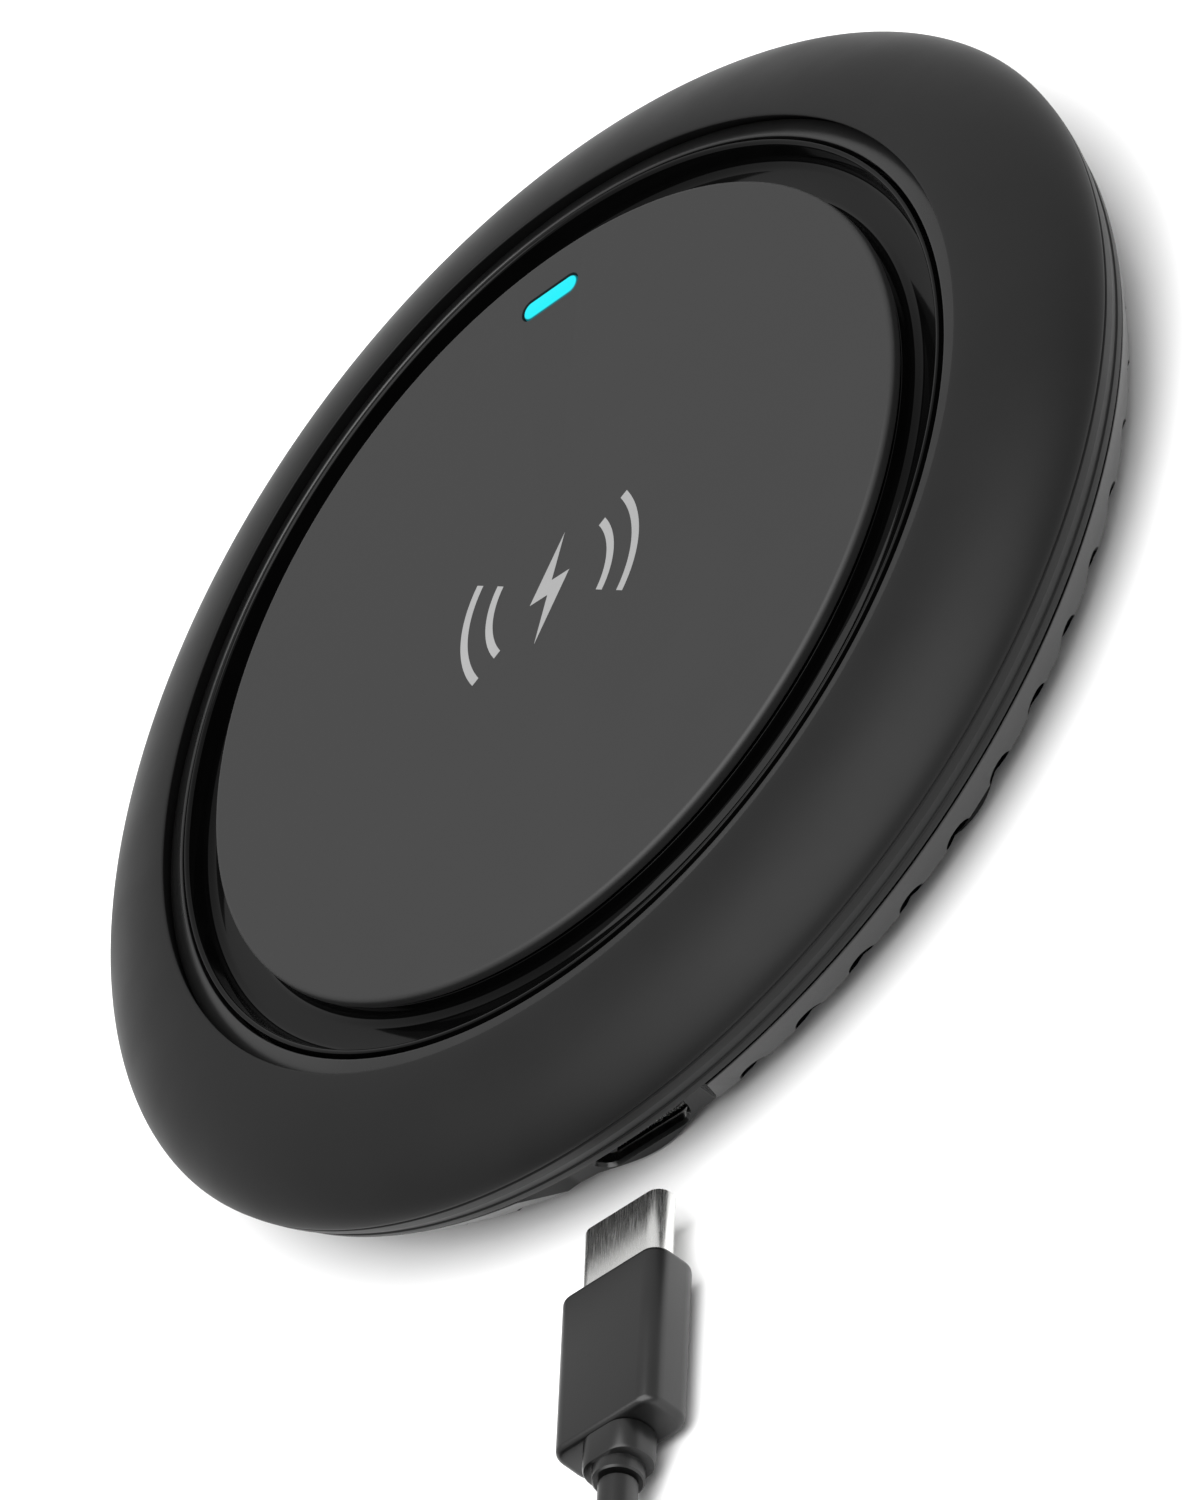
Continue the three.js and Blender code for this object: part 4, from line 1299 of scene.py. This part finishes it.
def polar(radius: float, degrees: float) -> tuple[float, float]:
    """A point's place on a circle about the Z axis.

    Args:
        radius: the circle's radius.
        degrees: the angle from X.

    Returns:
        The point's X and Y.
    """
    return radius * math.cos(math.radians(degrees)), radius * math.sin(math.radians(degrees))


@dataclass
class Rings:
    """What lies inside the dome: the satin step ring and the glossy moat."""

    sizes: PadSizes

    def build(self) -> None:
        """Makes both rings."""
        s = self.sizes
        trim = filleted(
            [
                (s.seam_radius + 0.38, s.moat_top, 0.1),
                (s.trim_outer, s.moat_top, 0.1),
                (s.trim_outer, s.step_top, 0.12),
                (s.seam_radius + 0.3, s.seam_top - 0.08, 0.16),
            ],
            True,
        )
        moat = filleted(
            [
                (s.seat_inner, s.moat_bottom, 0.1),
                (s.trim_outer, s.moat_bottom, 0.1),
                (s.trim_outer, s.moat_top - GAP, 0.1),
                (s.seam_radius + 0.1, s.moat_top - GAP, 0.05),
                (s.seam_radius, s.seam_top, 0.12),
                (s.seam_radius - 0.42, s.seam_top, 0.3),
                (s.seam_radius - 0.75, s.moat_top, 0.9),
                (s.seat_radius, s.moat_top, 0.9),
                (s.seat_radius, s.seat_top, 0.1),
                (s.seat_inner, s.seat_top, 0.1),
            ],
            True,
        )
        finished(turned("satin_step_ring", trim, closed=True), TRIM_ABS, "trim_plastic", "pad", "trim_ring")
        finished(turned("gloss_moat", moat, closed=True), GLOSS_BLACK, "gloss_plastic", "pad", "moat_ring")


@dataclass
class ChargingPlate:
    """The raised disc a phone lies on, with its light and its printed pictogram."""

    sizes: PadSizes
    fillet: float = 0.45
    led_length: float = 5.6
    led_width: float = 1.75
    led_inset: float = 4.5
    led_angle: float = 93.0
    led_clearance: float = 0.15
    led_bottom: float = 7.1
    collar_height: float = 0.8
    collar_width: float = 0.6
    print_rise: float = 0.02
    bolt_height: float = 9.6
    wave_radii: tuple[float, ...] = (6.3, 8.9)
    wave_half_angle: float = 33.0
    wave_width: float = 0.75

    def build(self) -> None:
        """Makes the plate, the light pipe and the print."""
        s = self.sizes
        disc = filleted(
            [
                (0, s.spigot_bottom, 0),
                (s.seat_inner - GAP, s.spigot_bottom, 0.15),
                (s.seat_inner - GAP, s.plate_bottom, 0),
                (s.plate_radius, s.plate_bottom, 0.1),
                (s.plate_radius, s.height, self.fillet),
                (0, s.height, 0),
            ],
            False,
            8,
        )
        plate = turned("charging_surface_plate", disc, 360)
        carve(plate, [self.pill("led_window", self.led_clearance, s.spigot_bottom - 1, s.height + 1)], Joinery.CUT)
        finished(plate, PLATE_ABS, "plate_plastic", "pad", "charging_plate")
        finished(self.light(), CYAN_PIPE, "led_lens", "pad", "led_light_pipe")
        finished(self.pictogram(), PRINT_INK, "plate_plastic", "pad")

    def pill_outline(self, grow: float) -> Array:
        """The light's outline about its own centre.

        Args:
            grow: the margin added all round.

        Returns:
            Rows of X and Y.
        """
        width = self.led_width + 2 * grow
        flat = outline(self.led_length + 2 * grow, width, width / 2 - 0.01, 12)
        turn = math.radians(self.led_angle + 90)
        return flat @ np.array([[math.cos(turn), math.sin(turn)], [-math.sin(turn), math.cos(turn)]])

    def pill(self, name: str, grow: float, low: float, high: float) -> bpy.types.Object:
        """A straight pill-shaped solid where the light is.

        Args:
            name: the object's name.
            grow: the margin round the light's own outline.
            low: its lower end.
            high: its upper end.

        Returns:
            The solid.
        """
        centre = np.array(polar(self.sizes.plate_radius - self.led_inset, self.led_angle))
        return bar(name, self.pill_outline(grow) + centre, low, high)

    def light(self) -> bpy.types.Object:
        """The light pipe: straight sides, a collar under the plate and a softly domed top.

        Returns:
            The piece.
        """
        s = self.sizes
        centre = np.array(polar(s.plate_radius - self.led_inset, self.led_angle))
        top, wide = s.spigot_bottom - SEAM, self.collar_width
        low = top - self.collar_height
        rows = [(self.led_bottom, 0.0), (low, 0.0), (low, wide), (top, wide), (top, 0.0)]
        rows += [(s.height - 0.2, 0.0), (s.height - 0.1, -0.03), (s.height - 0.04, -0.1), (s.height - 0.02, -0.2)]
        sections = []
        for z, grow in rows:
            flat = self.pill_outline(grow) + centre
            sections.append(np.column_stack([flat, np.full(len(flat), z)]))
        return grid_object("status_light", np.array(sections), caps=True)

    def pictogram(self) -> bpy.types.Object:
        """A plain lightning bolt between two pairs of arcs, a hair above the plate.

        Returns:
            The print as one piece.
        """
        low, high = self.sizes.height, self.sizes.height + self.print_rise
        h = self.bolt_height / 2
        bolt = np.array([(0.28, 1.0), (-0.42, -0.12), (-0.04, -0.12), (-0.28, -1.0), (0.42, 0.14), (0.04, 0.14)]) * h
        marks = [bar("bolt", bolt, low, high)]
        for radius in self.wave_radii:
            for side in (0, 180):
                marks.append(self.arc_mark(radius, side, low, high))
        return joined("plate_pictogram", marks)

    def arc_mark(self, radius: float, side: float, low: float, high: float) -> bpy.types.Object:
        """One printed arc about the plate's centre, with square ends.

        Args:
            radius: of its middle line.
            side: the angle of its middle, in degrees.
            low: the print's lower face.
            high: the print's upper face.

        Returns:
            The arc.
        """
        angles = np.radians(side + np.linspace(-self.wave_half_angle, self.wave_half_angle, 24))
        unit = np.column_stack([np.cos(angles), np.sin(angles)])
        half = self.wave_width / 2
        return bar("wave", np.concatenate([(radius + half) * unit, (radius - half) * unit[::-1]]), low, high)


@dataclass
class BottomCover:
    """The lower shell: a tapered side, scooped vents round its edge and the port's pocket and boss."""

    sizes: PadSizes
    underside: float = 1.2
    edge: float = 2.1
    chamfer: float = 1.6
    floor_top: float = 2.5
    lip_outer: float = 48.3
    lip_inner: float = 47.0
    wall: float = 1.2
    lip_rise: float = 1.7
    vent_count: int = 52
    vent_width: float = 2.9
    vent_height: float = 1.9
    vent_depth: float = 3.4
    face_y: float = -46.3
    face_half: float = 7.0
    flare: float = 45.0
    port_z: float = 3.0
    boss_half: float = 8.5
    boss_bottom: float = 0.4
    boss_depth: float = 10.0
    foot_radius: float = 4.3
    foot_pocket: float = 0.5
    screw_hole: float = 2.2
    screw_hole_top: float = 3.1
    port_wall: float = 1.2
    slot_width: float = 9.45
    slot_height: float = 3.3
    trough_width: float = 9.7
    trough_length: float = 8.4
    boss_skin: float = 0.7
    cavity_margin: float = 0.2

    def build(self) -> bpy.types.Object:
        """Makes the cover: a turned shell, joined to the port's boss and then cut.

        Returns:
            The piece.
        """
        s = self.sizes
        profile = filleted(
            [
                (0, self.underside, 0),
                (s.cover_edge - self.chamfer, self.underside, 1.2),
                (s.cover_edge, self.edge, 0.45),
                (s.cover_side, s.cover_top, 0.1),
                (self.lip_outer, s.cover_top, 0),
                (self.lip_outer, s.cover_top + self.lip_rise, 0.2),
                (self.lip_inner, s.cover_top + self.lip_rise, 0.2),
                (s.cover_edge - self.wall, self.floor_top + 0.2, 0.3),
                (0, self.floor_top, 0),
            ],
            False,
            5,
        )
        cover = turned("lower_shell", profile, 416)
        carve(cover, [self.boss()], Joinery.JOIN)
        carve(cover, [self.pocket(), self.slot(), self.trough(), self.cavity()], Joinery.CUT)
        recesses = [self.recess(angle) for angle in s.corner_angles]
        carve(cover, [joined("vents", self.vents()), joined("recesses", recesses)], Joinery.CUT, 30)
        return finished(cover, COVER_ABS, "cover_plastic", "pad", "bottom_cover")

    def boss(self) -> bpy.types.Object:
        """The port's boss: a raised cosine hump under the cover, carried back from the port's face.

        Returns:
            The solid.
        """
        x = np.linspace(-self.boss_half, self.boss_half, 41)
        swell = (1 + np.cos(np.pi * x / self.boss_half)) / 2
        low = self.edge - (self.edge - self.boss_bottom) * swell
        top = self.sizes.cover_top + self.lip_rise - 0.05
        hump = np.column_stack([x, low])
        roof = np.array([[self.boss_half, top], [-self.boss_half, top]])
        return bar("boss", np.concatenate([hump, roof]), self.face_y, self.face_y + self.boss_depth, "Y")

    def pocket(self) -> bpy.types.Object:
        """The flared space in front of the port's flat face.

        Returns:
            The cutter.
        """
        far = self.sizes.radius + 2
        reach = (far + self.face_y) * math.tan(math.radians(self.flare))
        flat = [
            (-self.face_half, self.face_y, 0.5),
            (-self.face_half - reach, -far, 0),
            (self.face_half + reach, -far, 0),
            (self.face_half, self.face_y, 0.5),
        ]
        return bar("pocket", filleted(flat, True, 6), -1, self.sizes.cover_top + 1)

    def slot(self) -> bpy.types.Object:
        """The rounded slot for the plug's shell, with a bevelled mouth.

        Returns:
            The cutter.
        """
        steps = [(-0.5, -0.75), (-0.001, -0.25), (0.25, 0.0), (1.4, 0.0)]
        stations = [(self.face_y + depth, inset) for depth, inset in steps]
        cutter = lofted("slot", stations, self.slot_width, self.slot_height, self.slot_height / 2 - 0.02)
        return place(cutter, at(0, 0, self.port_z))

    def trough(self) -> bpy.types.Object:
        """The space for the receptacle.

        Returns:
            The cutter.
        """
        middle_y = self.face_y + self.port_wall + self.trough_length / 2
        flat = outline(self.trough_width, self.trough_length, 0.3) + [0, middle_y]
        return bar("trough", flat, self.boss_bottom + self.boss_skin, self.floor_top + 1)

    def cavity(self) -> bpy.types.Object:
        """The space over the floor behind the port's face.

        Returns:
            The cutter.
        """
        middle_y = self.face_y + self.port_wall + self.boss_depth / 2
        width = 2 * (self.boss_half + self.cavity_margin)
        flat = outline(width, self.boss_depth, 0.3) + [0, middle_y]
        return bar("cavity", flat, self.floor_top, self.sizes.cover_top + self.lip_rise + 1)

    def recess(self, angle: float) -> bpy.types.Object:
        """The pocket of one foot with the screw's hole in it.

        Args:
            angle: where the foot is.

        Returns:
            The cutter.
        """
        top = self.underside + self.foot_pocket
        steps = filleted(
            [
                (0, -1, 0),
                (self.foot_radius, -1, 0),
                (self.foot_radius, top, 0.1),
                (self.screw_hole, top, 0),
                (self.screw_hole, self.screw_hole_top, 0),
                (0, self.screw_hole_top, 0),
            ],
            False,
            3,
        )
        return place(turned("recess", steps, 48), at(*polar(self.sizes.screw_circle, angle), 0))

    def vents(self) -> list[bpy.types.Object]:
        """Round-ended scoops in the lower edge, all round but at the port.

        Each is an ellipsoid whose centre lies on the edge: x, y and z are its half sizes times the unit sphere's.

        Returns:
            The cutters.
        """
        polar_angle = np.linspace(0, np.pi, 15)[:, None]
        round_angle = np.linspace(0, 2 * np.pi, 24, endpoint=False)[None]
        sphere = np.stack(
            [
                np.sin(polar_angle) * np.cos(round_angle),
                np.cos(polar_angle) * np.ones_like(round_angle),
                np.sin(polar_angle) * np.sin(round_angle),
            ],
            axis=-1,
        )
        half = np.array([self.vent_width, 2 * self.vent_depth, self.vent_height]) / 2
        scoop = sphere * half + [0, -self.sizes.cover_edge, self.edge - 0.1]
        made = []
        for index in range(2, self.vent_count - 1):
            turn = at(0, 0, 0, 360 * index / self.vent_count)
            made.append(place(grid_object("scoop", scoop), turn))
        return made


@dataclass
class Feet:
    """Four rubber feet pressed into the cover's pockets."""

    sizes: PadSizes
    radius: float = 4.0
    height: float = 1.4

    def build(self) -> None:
        """Makes the feet: a low disc with rounded edges and a shallow hollow in its sole."""
        profile = filleted(
            [
                (0, 0.12, 0),
                (self.radius - 1.3, 0.12, 0.3),
                (self.radius - 1.0, 0, 0.2),
                (self.radius, 0, 0.35),
                (self.radius, self.height, 0.1),
                (0, self.height, 0),
            ],
            False,
            4,
        )
        for index, angle in enumerate(self.sizes.corner_angles, start=1):
            foot = place(turned(f"rubber_foot_{index}", profile, 64), at(*polar(self.sizes.screw_circle, angle), 0))
            finished(foot, FOOT_RUBBER, "foot_rubber", "pad", f"foot_{index}")


# The nodes whose own shape stays, with their finish.
KEPT_NODES = {
    "screw": ZINC,
    "transmitter_coil": LITZ,
    "coil_lead": LITZ,
    "ferrite_sheet": FERRITE,
    "coil_carrier": NYLON,
    "main_board": BOARD,
    "usb_c_receptacle_shell": NICKEL,
    "usb_c_receptacle_tongue": LIQUID_CRYSTAL,
    "charging_controller_ic": EPOXY,
    "usb_power_ic": EPOXY,
    "power_inductor": IRON_POWDER,
    "mosfet_bridge": EPOXY,
    "input_capacitor": CERAMIC,
    "tank_capacitor": CERAMIC,
    "thermal_pad": GAP_PAD,
    "status_led": LED_PACKAGE,
    "coil_thermistor": EPOXY,
    "usb_c_plug_insert": LIQUID_CRYSTAL,
    "usb_a_plug_tongue": LIQUID_CRYSTAL,
}


def dress_kept_nodes() -> None:
    """Gives each node that still shows its finish, found by the start of its name."""
    for name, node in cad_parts.items():
        if node.hide_render:
            continue
        finish = next(found for start, found in KEPT_NODES.items() if name.startswith(start))
        WORKSHOP.paint(node, finish)


# ---------------------------------------------------------------- studio


@dataclass
class Softbox:
    """One soft area light that looks at the pad."""

    name: str
    place: tuple[float, float, float]
    size: tuple[float, float]
    power: float

    def build(self) -> None:
        """Makes the light. It isn't seen by the camera."""
        data = bpy.data.lights.new(self.name, "AREA")
        data.shape = "RECTANGLE"
        data.size, data.size_y = self.size
        data.energy = self.power
        light = bpy.data.objects.new(self.name, data)
        light.location = self.place
        light.rotation_euler = (-Vector(self.place)).to_track_quat("-Z", "Y").to_euler()
        light.visible_camera = False
        bpy.context.scene.collection.objects.link(light)


@dataclass
class Studio:
    """A white table in a pale room, with soft light from above."""

    floor_size: float = 6.0
    room_strength: float = 0.72
    lights: tuple[Softbox, ...] = (
        Softbox("overhead", (0.25, -0.4, 1.3), (1.8, 1.8), 36.0),
    )

    def build(self) -> None:
        """Makes the floor, the room's light and the softboxes."""
        half = self.floor_size / 2
        mesh = bpy.data.meshes.new("table_top")
        mesh.from_pydata([(-half, -half, 0), (half, -half, 0), (half, half, 0), (-half, half, 0)], [], [(0, 1, 2, 3)])
        floor = bpy.data.objects.new("table_top", mesh)
        bpy.context.scene.collection.objects.link(floor)
        floor.data.materials.append(PAPER.material())
        world = bpy.data.worlds.new("room")
        world.use_nodes = True
        background = world.node_tree.nodes["Background"]
        background.inputs["Color"].default_value = linear("ffffff")
        background.inputs["Strength"].default_value = self.room_strength
        bpy.context.scene.world = world
        for light in self.lights:
            light.build()


# ---------------------------------------------------------------- making


def main() -> None:
    """Builds everything: the camera, the cable, the pad, what is inside it, and the studio."""
    bpy.context.scene.view_settings.view_transform = "Standard"
    Viewpoint().build()
    tip_y = float(corner_mm("usb_c_plug_shell")[1][1])
    cord = Cord()
    near = UsbCPlug().build(tip_y)
    far = UsbAPlug().build(tip_y)
    tie = Tie().build(tip_y, cord)
    inserts = [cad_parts["usb_c_plug_insert"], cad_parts["usb_a_plug_tongue"]]
    cord.build(tip_y, [*near, *far, tie, *inserts])
    sizes = PadSizes()
    Housing(sizes).build()
    Rings(sizes).build()
    ChargingPlate(sizes).build()
    BottomCover(sizes).build()
    Feet(sizes).build()
    dress_kept_nodes()
    Studio().build()


if __name__ == "__main__":
    main()
